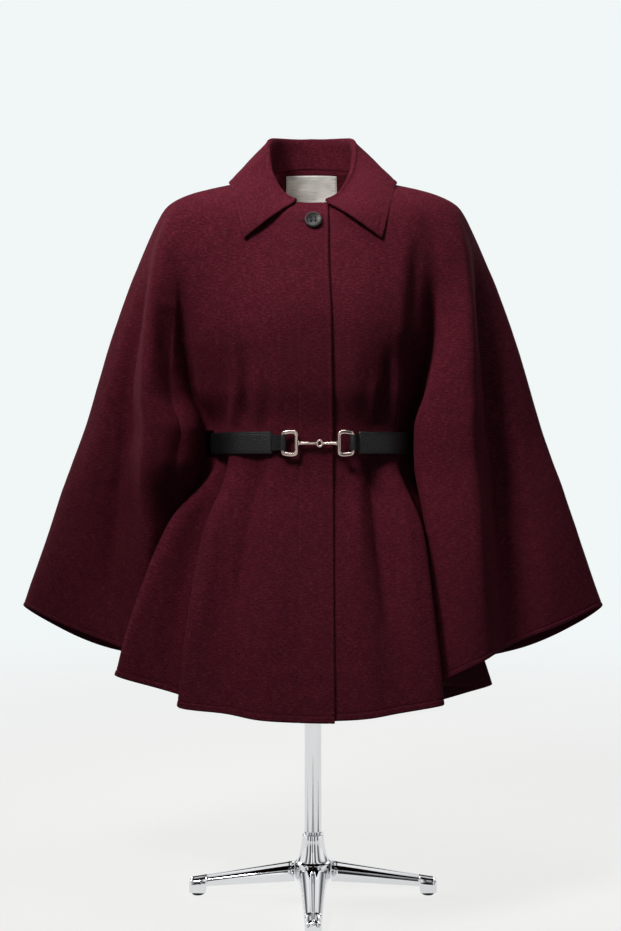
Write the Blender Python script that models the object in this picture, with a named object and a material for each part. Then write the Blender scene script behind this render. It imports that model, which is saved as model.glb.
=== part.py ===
"""Belted wool cape-poncho shown on a limbless dress form and a four-legged chrome stand.

Sizes are in millimetres in the tables and metres in the meshes. Origin: middle of the floor
print, +Z up, the front of the garment toward -Y, the wearer's right toward -X.
The cloth is one run of fold lines round the body. Each fold line is a row of a table that
gives how far out and how far forward it lies at each level, from neck to hem.
"""
import math

import bmesh
import bpy
import numpy as np

MM = 0.001
CLOTH_WALL = 2.5
COLLAR_WALL = 3.0
SEAM_GAP = 0.3

# Neck seam, yoke and shoulder rings: half widths and depths, heights at front, side and back.
NECK = dict(side=72.0, front=70.0, back=64.0, z_front=965.0, z_side=1015.0, z_back=1042.0)
YOKE = dict(side=128.0, front=81.0, back=84.0, z_front=949.0, z_side=1000.0, z_back=985.0, power=2.6)
SHOULDER = dict(side=203.0, front=89.0, back=98.0, z_front=931.0, z_side=971.0, z_back=940.0, power=3.0)
YOKE_SHARE = 0.43
LAP_STEP = 4.0

# How far down the cloth each level lies, measured from the neck seam.
LEVELS = ("neck", "yoke", "shoulder", "chest", "bust", "under", "belt_top", "belt_low",
          "hip", "skirt", "hem")
DOWN = (0.0, 45.0, 105.0, 150.0, 252.0, 340.0, 398.0, 436.0, 540.0, 645.0, 755.0)
LEVEL_Z = dict(chest=900.0, bust=800.0, under=715.0, belt_top=657.0, belt_low=619.0)
HEM_SHARE = dict(hip=0.68, skirt=0.34, hem=0.0)
ROWS = (0.0, 22.0, 45.0, 75.0, 105.0, 150.0, 200.0, 252.0, 296.0, 340.0, 370.0, 398.0, 436.0,
        470.0, 505.0, 540.0, 592.0, 645.0, 700.0, 755.0)

# One row for each fold line of the wearer's right front, centre edge to overarm.
# name, columns to the next, neck angle, shoulder out, then (out, forward) at chest, bust, under,
# belt, hip, skirt and hem, then hem height and how much it swings out between the belt levels.
FOLD_COLUMNS = ("name", "columns", "angle", "shoulder", "chest", "bust", "under", "belt",
                "hip", "skirt", "hem", "hem_z", "swing")
RIGHT_FRONT = (
    ("edge", 2, -16, -20, (-20, 99), (-23.5, 119), (-25, 116), (-26, 108), (-26, 131), (-26, 172), (-26, 216), 287, 0),
    ("lap", 1, 17, 21, (21, 99.5), (21, 119.5), (21, 116.5), (21, 108), (21, 132), (21, 173), (21, 216), 288, 0),
    ("middle", 2, 34, 55, (57, 98), (58, 117), (52, 113), (48, 100.5), (55, 130), (62, 170), (68, 211), 290, 0),
    ("valley", 2, 46, 80, (86, 95), (84, 108), (78, 101), (75, 87), (88, 115), (100, 150), (110, 190), 294, 0),
    ("body", 2, 54, 105, (112, 91.5), (110, 99), (104, 88), (111, 65.5), (142, 104), (159, 143), (172, 178), 300, 0),
    ("tuck", 2, 60, 124, (132, 87.5), (131, 88), (117, 74), (119, 45), (138, 71), (156, 104), (167, 138), 305, 0),
    ("flute", 3, 65, 140, (156, 82), (158, 71), (155, 44), (135, 24), (190, 60), (227, 100), (258, 140), 334, 0),
    ("slit_in", 1, 70, 156, (176, 75.5), (172, 56), (162, 25), (139, 13), (160, 22), (172, 42), (184, 64), 318, 0),
    ("slit_out", 3, 72, 161, (183, 74.5), (179, 54), (172, 22), (152, 9), (170, 13), (181, 32), (193, 55), 322, 0.1),
    ("wing_in", 3, 75, 170, (192, 74), (187, 68), (182, 66), (172, 80), (186, 38), (206, 53), (214, 68), 345, 0.3),
    ("ridge", 2, 80, 184, (211, 70), (222, 83), (224, 88), (224, 88), (224, 73), (228, 70), (237, 84), 355, 0.3),
    ("trough", 2, 84, 193, (223, 40), (242, 38), (256, 35), (262, 33), (271, 31), (280, 36), (269, 58), 361, 0.5),
    ("band", 2, 87, 200, (234, 20), (262, 23), (285, 25), (301, 26), (321, 27), (338, 33), (346, 38), 388, 0.8),
    ("overarm", 0, 90, 203, (243, 0), (280, 0), (307, 0), (331, 0), (361, 0), (385, 0), (410, 0), 410, 1),
)
LEFT_FRONT = (
    ("edge", 2, -16, -22, (-22, 99), (-22, 119), (-22, 116), (-22, 108), (-22, 130.5), (-22, 171), (-22, 213), 289, 0),
    ("lap", 1, 18, 24, (24, 99), (26, 119), (27, 116), (27, 107), (28, 130.5), (29, 171), (30, 213), 289, 0),
    ("middle", 2, 34, 55, (57, 98), (58, 117), (54, 112), (52, 99), (58, 129), (64, 168), (70, 208), 291, 0),
    ("valley", 2, 46, 80, (86, 95), (84, 110), (82, 99), (80, 84), (88, 112), (98, 148), (108, 188), 294, 0),
    ("body", 2, 54, 105, (112, 91.5), (112, 99), (112, 81), (111, 65.5), (143, 100), (154, 135), (167, 165), 300, 0),
    ("tuck", 2, 60, 122, (128, 88), (127, 91), (122, 66), (119, 44), (139, 68), (149, 98), (158, 120), 294, 0),
    ("flute", 3, 65, 137, (145, 83), (145, 76), (137, 44), (135, 24), (160, 42), (180, 58), (205, 65), 297, 0),
    ("slit_in", 1, 70, 150, (161, 76), (159, 55), (147, 30), (139, 13), (175, 26), (208, 29), (245, 17), 298, 0),
    ("slit_out", 3, 72, 155, (169, 75), (166, 53), (156, 26), (153, 11), (184, 19), (216, 20), (252, 8), 299, 0),
    ("wing_in", 3, 75, 162, (179, 75), (176, 69), (160, 72), (141, 62), (153, 85), (162, 106), (170, 130), 323, 0),
    ("ridge", 2, 80, 182, (207, 67), (213, 79), (212, 84), (213, 88), (219, 100), (222, 115), (225, 130), 352, 0.1),
    ("trough", 2, 84, 193, (221, 38), (233, 35), (243, 32), (250, 31), (259, 34), (266, 44), (272, 64), 364, 0.4),
    ("band", 2, 87, 200, (233, 19), (257, 22), (277, 24), (292, 25), (312, 28), (329, 36), (343, 42), 388, 0.8),
    ("overarm", 0, 90, 203, (243, 0), (280, 0), (307, 0), (331, 0), (361, 0), (385, 0), (410, 0), 410, 1),
)
SWING = 6.5

# Back: at each level the half width comes from the overarm and the depth from this table.
BACK_DEPTH = dict(chest=112.0, bust=124.0, under=128.0, belt_top=132.0, belt_low=135.0,
                  hip=153.0, skirt=175.5, hem=201.9)
# Back fold lines: name, columns to the next, turn round the back in degrees (0 = wearer's
# right overarm), how far it stands out at the hem, hem height.
BACK_FOLDS = (
    ("out_right", 2, 14, 2, 388),
    ("hollow_right", 2, 30, -16, 352),
    ("flute_right", 2, 46, 12, 322),
    ("dip_right", 2, 61, -20, 306),
    ("ridge_right", 2, 76, 18, 297),
    ("centre", 2, 91, -9, 296),
    ("ridge_left", 2, 104, 20, 297),
    ("dip_left", 2, 118, -22, 305),
    ("flute_left", 2, 134, 10, 320),
    ("hollow_left", 2, 150, -14, 350),
    ("out_left", 2, 166, 2, 386),
)
BACK_GROWTH = dict(chest=0.05, bust=0.2, under=0.35, belt_top=0.45, belt_low=0.52, hip=0.68,
                   skirt=0.84, hem=1.0)
BACK_POWER = 2.15

# Collar: roll line half widths, its height by angle from the front, and the leaf's edge as a
# place on the cloth: fold line number counted from the centre edge, and how far down.
ROLL = dict(side=59.0, front=69.0, back=61.0, shift=-2.5)
ROLL_HEIGHT = ((20, 972.0), (27, 975.5), (38, 983.5), (56, 1006.0), (73, 1030.0), (82, 1048.0),
               (90, 1061.0), (105, 1074.0), (120, 1080.0), (150, 1085.0), (180, 1087.0))
LEAF_EDGE = ((20, 3.25, 136.0), (30, 3.75, 110.0), (45, 4.75, 84.0), (60, 6.3, 60.0),
             (75, 9.3, 42.0), (90, 13.0, 34.5))
LEAF_BACK_EDGE = ((90, 34.5), (120, 35.0), (150, 34.0), (180, 33.0))
BULGE = dict(ahead=11.0, out=3.0, up=1.6)
LEAF_ANGLES = (20, 27, 34, 42, 51, 61, 72, 82, 92, 104, 118, 132, 148, 164, 180)
STAND_START = 50.0
LABEL = dict(width=75.0, wall=0.8, shift=-2.0)
LABEL.update({"from": 5.5, "to": 48.5})

# Button, belt and clasp.
BUTTON = dict(x=0.4, z=938.0, radius=12.0, thick=4.4, hole=1.3, spacing=2.9)
BELT = dict(height=30.0, thick=3.5, z=638.5, side=143.2, front=112.2, back=90.3,
            end_right=-55.0, end_left=61.0, segments=46)
RING = dict(width=22.0, tube=2.1, right_x=-31.2, left_x=43.6, y=-115.0, tilt=8.0)
# Upper half of a ring, from the bar on the link's side (toward strap, up).
RING_PATH = ((-8.9, 0), (-8.9, 6.0), (-8.9, 11.2), (-7.3, 14.3), (-2.4, 15.2), (2.6, 14.7),
             (7.4, 13.6), (8.9, 11.6), (8.9, 0))
LINK = dict(radius=2.2, ring_x=8.6, ring_wide=4.5, ring_high=5.6, ring_tube=1.3, flare=4.4)

# Form and stand.
FORM_GAP = 0.95
FORM_RINGS = ((924.0, 184.0, 81.0, 92.0, 2.4), (880.0, 168.0, 87.0, 98.0, 2.4), (800.0, 146.0, 97.0, 98.0, 2.4),
              (715.0, 128.0, 86.0, 90.0, 2.2), (666.0, 118.0, 80.0, 88.0, 2.0), (612.0, 118.0, 80.0, 88.0, 2.0),
              (560.0, 128.0, 88.0, 98.0, 2.0), (500.0, 132.0, 92.0, 104.0, 2.0), (436.0, 118.0, 80.0, 90.0, 2.0),
              (430.0, 110.0, 74.0, 84.0, 2.0))
SCOOP_FLOOR = 938.0
POLE = dict(radius=12.0, top=429.6, bottom=86.4, flange=36.0, flange_thick=7.0)
HUB = ((86.0, 14.6), (80.0, 15.4), (62.0, 18.0), (50.0, 21.5), (46.5, 25.5), (23.0, 25.5), (19.0, 21.0))
LEG = dict(start=26.0, reach=175.0, width_in=40.0, width_out=21.0, top_in=46.0, top_out=23.0,
           under_in=23.6, under_out=12.5, toe=152.0, toe_under=4.0)
GLIDE = dict(radius=8.5, at=163.0, top=3.7)


def material(name, colour, rough, metal=0.0):
    """A plain surface of its own for one piece."""
    mat = bpy.data.materials.new(name)
    mat.use_nodes = True
    shader = mat.node_tree.nodes["Principled BSDF"]
    shader.inputs["Base Color"].default_value = (*colour, 1.0)
    shader.inputs["Roughness"].default_value = rough
    shader.inputs["Metallic"].default_value = metal
    return mat


def add_object(name, points, faces, finish, smooth=True):
    """Make a named object from points in millimetres."""
    mesh = bpy.data.meshes.new(name)
    mesh.from_pydata([tuple(float(c) * MM for c in p) for p in points], [], faces)
    mesh.validate()
    mesh.materials.append(material(name + "_finish", *finish))
    made = bmesh.new()
    made.from_mesh(mesh)
    bmesh.ops.recalc_face_normals(made, faces=made.faces)
    made.to_mesh(mesh)
    made.free()
    for face in mesh.polygons:
        face.use_smooth = smooth
    obj = bpy.data.objects.new(name, mesh)
    bpy.context.scene.collection.objects.link(obj)
    return obj


def shell_faces(rows, cols, holes=()):
    """Quads of two layers of rows x cols points and of the walls round every free edge."""
    layer = rows * cols
    cells = {(i, j) for i in range(rows - 1) for j in range(cols - 1)} - set(holes)
    faces = []
    edges = {}
    for i, j in sorted(cells):
        loop = (i * cols + j, i * cols + j + 1, (i + 1) * cols + j + 1, (i + 1) * cols + j)
        faces.append(loop)
        faces.append(tuple(layer + v for v in reversed(loop)))
        for a, b in zip(loop, loop[1:] + loop[:1]):
            if (b, a) in edges:
                del edges[(b, a)]
            else:
                edges[(a, b)] = True
    for a, b in edges:
        faces.append((b, a, layer + a, layer + b))
    return faces


def shell(name, grid, normals, wall, finish, holes=()):
    """A sheet of cloth with a real wall, half on each side of the given points."""
    rows, cols = grid.shape[:2]
    outer = (grid + normals * wall / 2).reshape(-1, 3)
    inner = (grid - normals * wall / 2).reshape(-1, 3)
    faces = shell_faces(rows, cols, holes)
    points = np.vstack((outer, inner))
    used = sorted({v for f in faces for v in f})
    place = {v: k for k, v in enumerate(used)}
    faces = [tuple(place[v] for v in f) for f in faces]
    return add_object(name, points[used], faces, finish)


def lathe(profile, around, axis="z", centre=(0, 0, 0)):
    """Points and faces of a closed turned solid; profile rows are (along, radius)."""
    points = []
    for along, radius in profile:
        for k in range(around):
            turn = 2 * math.pi * k / around
            u, v = radius * math.cos(turn), radius * math.sin(turn)
            spot = (u, v, along) if axis == "z" else (along, u, v)
            points.append(tuple(c + o for c, o in zip(spot, centre)))
    faces = []
    for i in range(len(profile) - 1):
        for k in range(around):
            n = (k + 1) % around
            faces.append((i * around + k, i * around + n, (i + 1) * around + n, (i + 1) * around + k))
    faces.append(tuple(reversed(range(around))))
    last = (len(profile) - 1) * around
    faces.append(tuple(range(last, last + around)))
    return points, faces


def sweep_loop(path, across, ups, radius, around):
    """Points and faces of a round bar bent along a closed path."""
    points = []
    count = len(path)
    for centre, side, up in zip(path, across, ups):
        for k in range(around):
            turn = 2 * math.pi * k / around
            points.append(centre + radius * (math.cos(turn) * side + math.sin(turn) * up))
    faces = []
    for i in range(count):
        m = (i + 1) % count
        for k in range(around):
            n = (k + 1) % around
            faces.append((i * around + k, i * around + n, m * around + n, m * around + k))
    return points, faces


def steady(xs, ys, at):
    """Curve through the points that never swings past them."""
    xs = np.asarray(xs, float)
    ys = np.asarray(ys, float)
    step = np.diff(xs)
    slope = np.diff(ys) / step
    lean = np.zeros(len(xs))
    for k in range(1, len(xs) - 1):
        if slope[k - 1] * slope[k] > 0:
            w1 = 2 * step[k] + step[k - 1]
            w2 = step[k] + 2 * step[k - 1]
            lean[k] = (w1 + w2) / (w1 / slope[k - 1] + w2 / slope[k])
    lean[0] = slope[0]
    lean[-1] = slope[-1]
    k = int(np.clip(np.searchsorted(xs, at) - 1, 0, len(xs) - 2))
    h = step[k]
    t = (at - xs[k]) / h
    return ((2 * t**3 - 3 * t**2 + 1) * ys[k] + (t**3 - 2 * t**2 + t) * h * lean[k]
            + (-2 * t**3 + 3 * t**2) * ys[k + 1] + (t**3 - t**2) * h * lean[k + 1])


def round_curve(p0, p1, p2, p3, t):
    """Point between p1 and p2 of a smooth curve through four points."""
    a = 0.0
    b = a + max(np.linalg.norm(p1 - p0), 1e-6) ** 0.5
    c = b + max(np.linalg.norm(p2 - p1), 1e-6) ** 0.5
    d = c + max(np.linalg.norm(p3 - p2), 1e-6) ** 0.5
    at = b + (c - b) * t
    a1 = (b - at) / (b - a) * p0 + (at - a) / (b - a) * p1
    a2 = (c - at) / (c - b) * p1 + (at - b) / (c - b) * p2
    a3 = (d - at) / (d - c) * p2 + (at - c) / (d - c) * p3
    b1 = (c - at) / (c - a) * a1 + (at - a) / (c - a) * a2
    b2 = (d - at) / (d - b) * a2 + (at - b) / (d - b) * a3
    return (c - at) / (c - b) * b1 + (at - b) / (c - b) * b2


def ring_place(out, ring, back):
    """Depth and height on the yoke or shoulder ring at a given distance out."""
    share = min(abs(out) / ring["side"], 1.0)
    depth = (1 - share ** ring["power"]) ** (1 / ring["power"])
    z_mid = ring["z_back"] if back else ring["z_front"]
    height = z_mid + (ring["z_side"] - z_mid) * share**2.1
    return (ring["back"] if back else -ring["front"]) * depth, height


def neck_place(angle):
    """Point of the neck seam, angle from the centre front (out, y, z)."""
    turn = math.radians(angle)
    out = NECK["side"] * math.sin(turn)
    if abs(angle) <= 90:
        rise = (NECK["z_side"] - NECK["z_front"]) * (1 - math.cos(turn)) ** 1.1
        return out, -NECK["front"] * math.cos(turn), NECK["z_front"] + rise
    rise = (NECK["z_back"] - NECK["z_side"]) * -math.cos(turn)
    return out, -NECK["back"] * math.cos(turn), NECK["z_side"] + rise


def front_lines(table, side):
    """Fold lines of one front: for each, its points at all levels."""
    lines = []
    for values in table:
        row = dict(zip(FOLD_COLUMNS, values))
        neck = neck_place(row["angle"])
        yoke_out = neck[0] + YOKE_SHARE * (row["shoulder"] - neck[0])
        yoke = ring_place(yoke_out, YOKE, False)
        shoulder = ring_place(row["shoulder"], SHOULDER, False)
        points = [neck, (yoke_out, *yoke), (row["shoulder"], *shoulder)]
        for level in LEVELS[3:]:
            out, forward = row["belt" if level.startswith("belt") else level]
            if level in LEVEL_Z:
                z = LEVEL_Z[level]
                out += row["swing"] * SWING * {"belt_top": -1, "belt_low": 1}.get(level, 0)
            else:
                z = row["hem_z"] + HEM_SHARE[level] * (LEVEL_Z["belt_low"] - row["hem_z"])
            points.append((out, -forward, z))
        lines.append(np.array([(side * o, y, z) for o, y, z in points]))
    return lines


def back_lines():
    """Fold lines of the back, the wearer's right overarm to the left."""
    over = dict(zip(LEVELS, front_lines(RIGHT_FRONT, 1)[-1]))
    lines = []
    for name, columns, turn, stand_out, hem_z in BACK_FOLDS:
        angle = math.radians(turn)
        neck = neck_place(90 + min(turn, 180 - turn))
        side = -math.copysign(1, math.cos(angle))
        points = [(abs(neck[0]) * side, neck[1], neck[2])]
        for ring, share in ((YOKE, 0), (SHOULDER, 1)):
            power = ring["power"]
            out = ring["side"] * abs(math.cos(angle)) ** (2 / power)
            y, z = ring_place(out, ring, True)
            points.append((out * side, y, z))
        for level in LEVELS[3:]:
            wide = over[level][0]
            deep = BACK_DEPTH[level]
            out = wide * abs(math.cos(angle)) ** (2 / BACK_POWER)
            y = deep * math.sin(angle) ** (2 / BACK_POWER)
            push = stand_out * BACK_GROWTH[level]
            lean = np.array((out / wide**2, y / deep**2))
            lean /= np.linalg.norm(lean)
            if level in LEVEL_Z:
                z = LEVEL_Z[level]
            else:
                z = hem_z + HEM_SHARE[level] * (LEVEL_Z["belt_low"] - hem_z)
            points.append(((out + lean[0] * push) * side, y + lean[1] * push, z))
        lines.append(np.array(points))
    return lines


class Sheet:
    """A run of fold lines and the smooth cloth through them."""

    def __init__(self, lines, columns, before, after):
        self.lines = lines
        self.columns = columns
        self.before = before
        self.after = after

    def row(self, down):
        """Where every fold line is at a distance down the cloth."""
        def at(line):
            return np.array([steady(DOWN, line[:, k], down) for k in range(3)])
        first, last = at(self.lines[0]), at(self.lines[-1])
        start = at(self.before) if self.before is not None else 2 * first - at(self.lines[1])
        end = at(self.after) if self.after is not None else 2 * last - at(self.lines[-2])
        return [start] + [at(line) for line in self.lines] + [end]

    def point(self, place, down):
        """Middle of the cloth at a fold line number (with a fraction) and distance down."""
        k = int(min(max(math.floor(place), 0), len(self.lines) - 2))
        p = self.row(down)
        return round_curve(p[k], p[k + 1], p[k + 2], p[k + 3], place - k)

    def places(self):
        """Fold line numbers of the columns of the mesh."""
        out = []
        for k, count in enumerate(self.columns):
            out += [k + n / count for n in range(count)]
        return out + [len(self.columns)]

    def normal(self, place, down, flip):
        """Outward direction of the cloth."""
        e, d = 0.03, 1.5
        top = len(self.lines) - 1
        u0, u1 = max(place - e, 0), min(place + e, top)
        v0, v1 = max(down - d, 0), min(down + d, DOWN[-1])
        along = self.point(u1, down) - self.point(u0, down)
        fall = self.point(place, v1) - self.point(place, v0)
        n = np.cross(along, fall) * flip
        return n / np.linalg.norm(n)

    def grid(self, places, rows, flip):
        """Points and outward directions on a grid."""
        pts = np.array([[self.point(u, v) for u in places] for v in rows])
        nrm = np.array([[self.normal(u, v, flip) for u in places] for v in rows])
        return pts, nrm


WOOL = ((0.105, 0.011, 0.030), 0.9)
LEATHER = ((0.012, 0.012, 0.014), 0.45)
METAL = ((0.78, 0.72, 0.66), 0.2, 1.0)
CHROME = ((0.8, 0.8, 0.82), 0.08, 1.0)


def build_sheets():
    """The three cut pieces as sheets, sharing their overarm lines."""
    right = front_lines(RIGHT_FRONT, -1)
    left = front_lines(LEFT_FRONT, 1)
    for k, share in ((0, 1.0), (1, 1.0), (2, 0.45)):
        left[k][:, 1] += LAP_STEP * share
        left[k][:, 2] -= 0.6 * share * (DOWN[-1] - np.array(DOWN)) / DOWN[-1]
    back = back_lines()
    sheet_right = Sheet(right, [r[1] for r in RIGHT_FRONT[:-1]], None, back[0])
    sheet_left = Sheet(left, [r[1] for r in LEFT_FRONT[:-1]], None, back[-1])
    lines = [right[-1]] + back + [left[-1]]
    sheet_back = Sheet(lines, [2] + [r[1] for r in BACK_FOLDS], right[-2], left[-2])
    return sheet_right, sheet_left, sheet_back


def trim_edge(pts, nrm, column, shift):
    """Move one edge column a little along Y so that two pieces meet with a gap."""
    pts[:, column, 1] += shift
    nrm[:, column, 1] = 0.0
    nrm[:, column] /= np.linalg.norm(nrm[:, column], axis=1, keepdims=True)


def build_fronts(sheet_right, sheet_left):
    """Both fronts with the slit for the belt."""
    for name, sheet, flip in (("front_right", sheet_right, 1), ("front_left", sheet_left, -1)):
        places = sheet.places()
        pts, nrm = sheet.grid(places, ROWS, flip)
        trim_edge(pts, nrm, -1, -SEAM_GAP / 2)
        slit = [(ROWS.index(398.0), j) for j, u in enumerate(places) if 7 <= u < 8]
        shell(name, pts, nrm, CLOTH_WALL, WOOL, slit)


def build_back(sheet):
    """The back between the overarm seams."""
    pts, nrm = sheet.grid(sheet.places(), ROWS, 1)
    trim_edge(pts, nrm, 0, SEAM_GAP / 2)
    trim_edge(pts, nrm, -1, SEAM_GAP / 2)
    shell("back", pts, nrm, CLOTH_WALL, WOOL)


def roll_place(angle, side):
    """Point of the collar's roll line on one side."""
    turn = math.radians(angle)
    deep = ROLL["front"] if angle <= 90 else ROLL["back"]
    z = steady([r[0] for r in ROLL_HEIGHT], [r[1] for r in ROLL_HEIGHT], angle)
    return np.array((side * ROLL["side"] * math.sin(turn) + ROLL["shift"], -deep * math.cos(turn), z))


def leaf_edge(sheets, angle, side):
    """Lower edge of the leaf, laid on the cloth."""
    right, left, back = sheets
    lift = CLOTH_WALL / 2 + COLLAR_WALL / 2 + 0.7
    if angle <= 90:
        xs = [r[0] for r in LEAF_EDGE]
        u = steady(xs, [r[1] for r in LEAF_EDGE], angle)
        v = steady(xs, [r[2] for r in LEAF_EDGE], angle)
        sheet, flip = (right, 1) if side < 0 else (left, -1)
        return sheet.point(u, v) + sheet.normal(u, v, flip) * lift
    xs = [r[0] for r in LEAF_BACK_EDGE]
    v = steady(xs, [r[1] for r in LEAF_BACK_EDGE], angle)
    u = (angle - 90) / 90 * 6.0
    u = u if side < 0 else len(back.lines) - 1 - u
    return back.point(u, v) + back.normal(u, v, 1) * (lift + 0.6)


def build_collar(sheets):
    """Standing band and turned-down leaf."""
    stand_angles = [a for a in LEAF_ANGLES if a > STAND_START]
    stand_angles = [STAND_START] + stand_angles
    both = [(a, -1) for a in stand_angles] + [(a, 1) for a in reversed(stand_angles[:-1])]
    rows = []
    for share in (0.0, 0.35, 0.7, 1.0):
        line = []
        for angle, side in both:
            foot = np.array(neck_place(angle)) * (side, 1, 1) + np.array((0, 0, 2.4))
            top = roll_place(angle, side) - np.array((0, 0, 8.8))
            top[2] = max(top[2], foot[2] + 3.0)
            line.append(foot + (top - foot) * share)
        rows.append(line)
    pts = np.array(rows)
    nrm = grid_normals(pts)
    shell("collar_stand", pts, nrm, COLLAR_WALL, WOOL)

    both = [(a, -1) for a in LEAF_ANGLES] + [(a, 1) for a in reversed(LEAF_ANGLES[:-1])]
    columns = []
    for angle, side in both:
        roll = roll_place(angle, side)
        edge = leaf_edge(sheets, angle, side)
        away = np.array(((roll[0] - ROLL["shift"]) / ROLL["side"] ** 2, roll[1] / ROLL["front"] ** 2, 0.0))
        away /= np.linalg.norm(away)
        foot_z = neck_place(angle)[2]
        start = roll + np.array((0, 0, -5.8))
        if angle < STAND_START:
            start[2] = foot_z + 3.2
        line = [start, roll + away * 1.2 + np.array((0, 0, -1.4)), roll + away * 3.6 + np.array((0, 0, -0.6)),
                roll + away * 6.2 + np.array((0, 0, -4.4))]
        last = line[-1]
        ahead = max(math.cos(math.radians(angle)), 0.0)
        bulge = np.array((0, -BULGE["ahead"] * ahead, 0))
        bulge = bulge + (away * BULGE["out"] + np.array((0, 0, BULGE["up"]))) * (1 - ahead)
        for share in (0.3, 0.6, 0.85, 1.0):
            line.append(last + (edge - last) * share + bulge * math.sin(math.pi * share))
        columns.append(line)
    pts = np.array(columns).transpose(1, 0, 2)
    nrm = grid_normals(pts)
    shell("collar_fall", pts, nrm, COLLAR_WALL, WOOL)


def grid_normals(pts):
    """Directions square to a grid of points."""
    along = np.gradient(pts, axis=1)
    down = np.gradient(pts, axis=0)
    n = np.cross(along, down)
    return n / np.linalg.norm(n, axis=2, keepdims=True)


def across_place(sheet, x, down, low, high):
    """Fold line number of the back where it lies at a given x."""
    for _ in range(30):
        mid = (low + high) / 2
        if sheet.point(mid, down)[0] < x:
            low = mid
        else:
            high = mid
    return (low + high) / 2


def build_label(sheet):
    """Plain satin label on the inside of the back neck."""
    half = LABEL["width"] / 2
    rows = np.linspace(LABEL["from"], LABEL["to"], 5)
    lines = []
    away = []
    for down in rows:
        xs = np.linspace(-half, half, 7) + LABEL["shift"]
        places = [across_place(sheet, x, down, 1.0, 11.0) for x in xs]
        lines.append([sheet.point(u, down) for u in places])
        away.append([sheet.normal(u, down, 1) for u in places])
    nrm = np.array(away)
    pts = np.array(lines) - nrm * (CLOTH_WALL / 2 + LABEL["wall"] / 2 + 0.6)
    shell("neck_label", pts, nrm, LABEL["wall"], ((0.55, 0.56, 0.58), 0.35))


def main_solids(sheets):
    """Cloth pieces in the order they are sewn."""
    right, left, back = sheets
    build_fronts(right, left)
    build_back(back)
    build_collar(sheets)
    build_label(back)


def cut(target, tools):
    """Take the tools out of the target and drop them."""
    for tool in tools:
        step = target.modifiers.new("cut", "BOOLEAN")
        step.operation = "DIFFERENCE"
        step.solver = "EXACT"
        step.object = tool
        bpy.context.view_layer.update()
        graph = bpy.context.evaluated_depsgraph_get()
        mesh = bpy.data.meshes.new_from_object(target.evaluated_get(graph))
        target.modifiers.clear()
        target.data = mesh
    for tool in tools:
        bpy.data.objects.remove(tool, do_unlink=True)


def build_button(sheet):
    """Four-hole button lying on the lap."""
    x, z = BUTTON["x"], BUTTON["z"]
    low, high = 0.0, 250.0
    for _ in range(40):
        mid = (low + high) / 2
        if sheet.point(0.6, mid)[2] > z:
            low = mid
        else:
            high = mid
    spot = sheet.point(0.6, low)
    out = sheet.normal(0.6, low, 1)
    out[0] = 0.0
    out /= np.linalg.norm(out)
    r, t = BUTTON["radius"], BUTTON["thick"]
    profile = ((0.0, r - 2.2), (1.0, r - 0.5), (2.4, r), (t - 0.6, r - 0.5), (t, r - 1.6), (t - 0.9, r - 3.6))
    points, faces = lathe(profile, 24)
    up = np.array((0.0, -out[2], out[1]))
    if up[2] < 0:
        up = -up
    side = np.cross(up, out)
    base = np.array((x, spot[1], z)) + out * (CLOTH_WALL / 2 + 0.35)

    def set_down(group):
        return [base + side * p[0] + up * p[1] + out * p[2] for p in group]
    button = add_object("button", set_down(points), faces, ((0.018, 0.012, 0.012), 0.3))
    tools = []
    for sx in (-1, 1):
        for sy in (-1, 1):
            centre = (sx * BUTTON["spacing"] / 1.0, sy * BUTTON["spacing"] / 1.0, 0)
            pts, fcs = lathe(((-1.0, BUTTON["hole"]), (t + 1.0, BUTTON["hole"])), 8, "z", centre)
            tools.append(add_object("hole", set_down(pts), fcs, ((0, 0, 0), 0.5)))
    cut(button, tools)


def belt_place(turn):
    """Middle line of the strap; turn 0 is the front, positive toward the wearer's left."""
    deep = BELT["front"] if abs(turn) <= math.pi / 2 else BELT["back"]
    return np.array((BELT["side"] * math.sin(turn), -deep * math.cos(turn), BELT["z"]))


def build_belt():
    """Leather strap round the waist and the strap ends turned round the rings."""
    start = math.asin(BELT["end_left"] / BELT["side"])
    end = 2 * math.pi + math.asin(BELT["end_right"] / BELT["side"])
    count = BELT["segments"]
    half = BELT["height"] / 2
    turns = []
    for k in range(count + 1):
        turn = start + (end - start) * k / count
        turns.append(turn if turn <= math.pi else turn - 2 * math.pi)
    pts = []
    nrm = []
    for up in (-half, half):
        line = []
        away = []
        for turn in turns:
            p = belt_place(turn)
            a, b = belt_place(turn - 0.01), belt_place(turn + 0.01)
            n = np.cross(b - a, (0, 0, 1.0))
            line.append(p + np.array((0, 0, up)))
            away.append(n / np.linalg.norm(n))
        pts.append(line)
        nrm.append(away)
    shell("belt_strap", np.array(pts), np.array(nrm), BELT["thick"], LEATHER)
    for name, ring_x, strap_x, side in (("belt_loop_right", RING["right_x"], BELT["end_right"], -1),
                                        ("belt_loop_left", RING["left_x"], BELT["end_left"], 1)):
        bar = np.array(ring_bar(ring_x, side))
        turn = math.asin(strap_x / BELT["side"])
        tail = belt_place(turn)
        along = belt_place(turn - side * 0.02) - tail
        along /= np.linalg.norm(along)
        tail = tail + along * 1.15
        build_loop(name, bar, tail)


def ring_bar(ring_x, side):
    """Plan position of a ring's straight bar."""
    tilt = math.radians(RING["tilt"])
    reach = RING["width"] / 2 - RING["tube"]
    return ring_x + side * reach * math.cos(tilt), RING["y"] + reach * math.sin(tilt)


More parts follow.
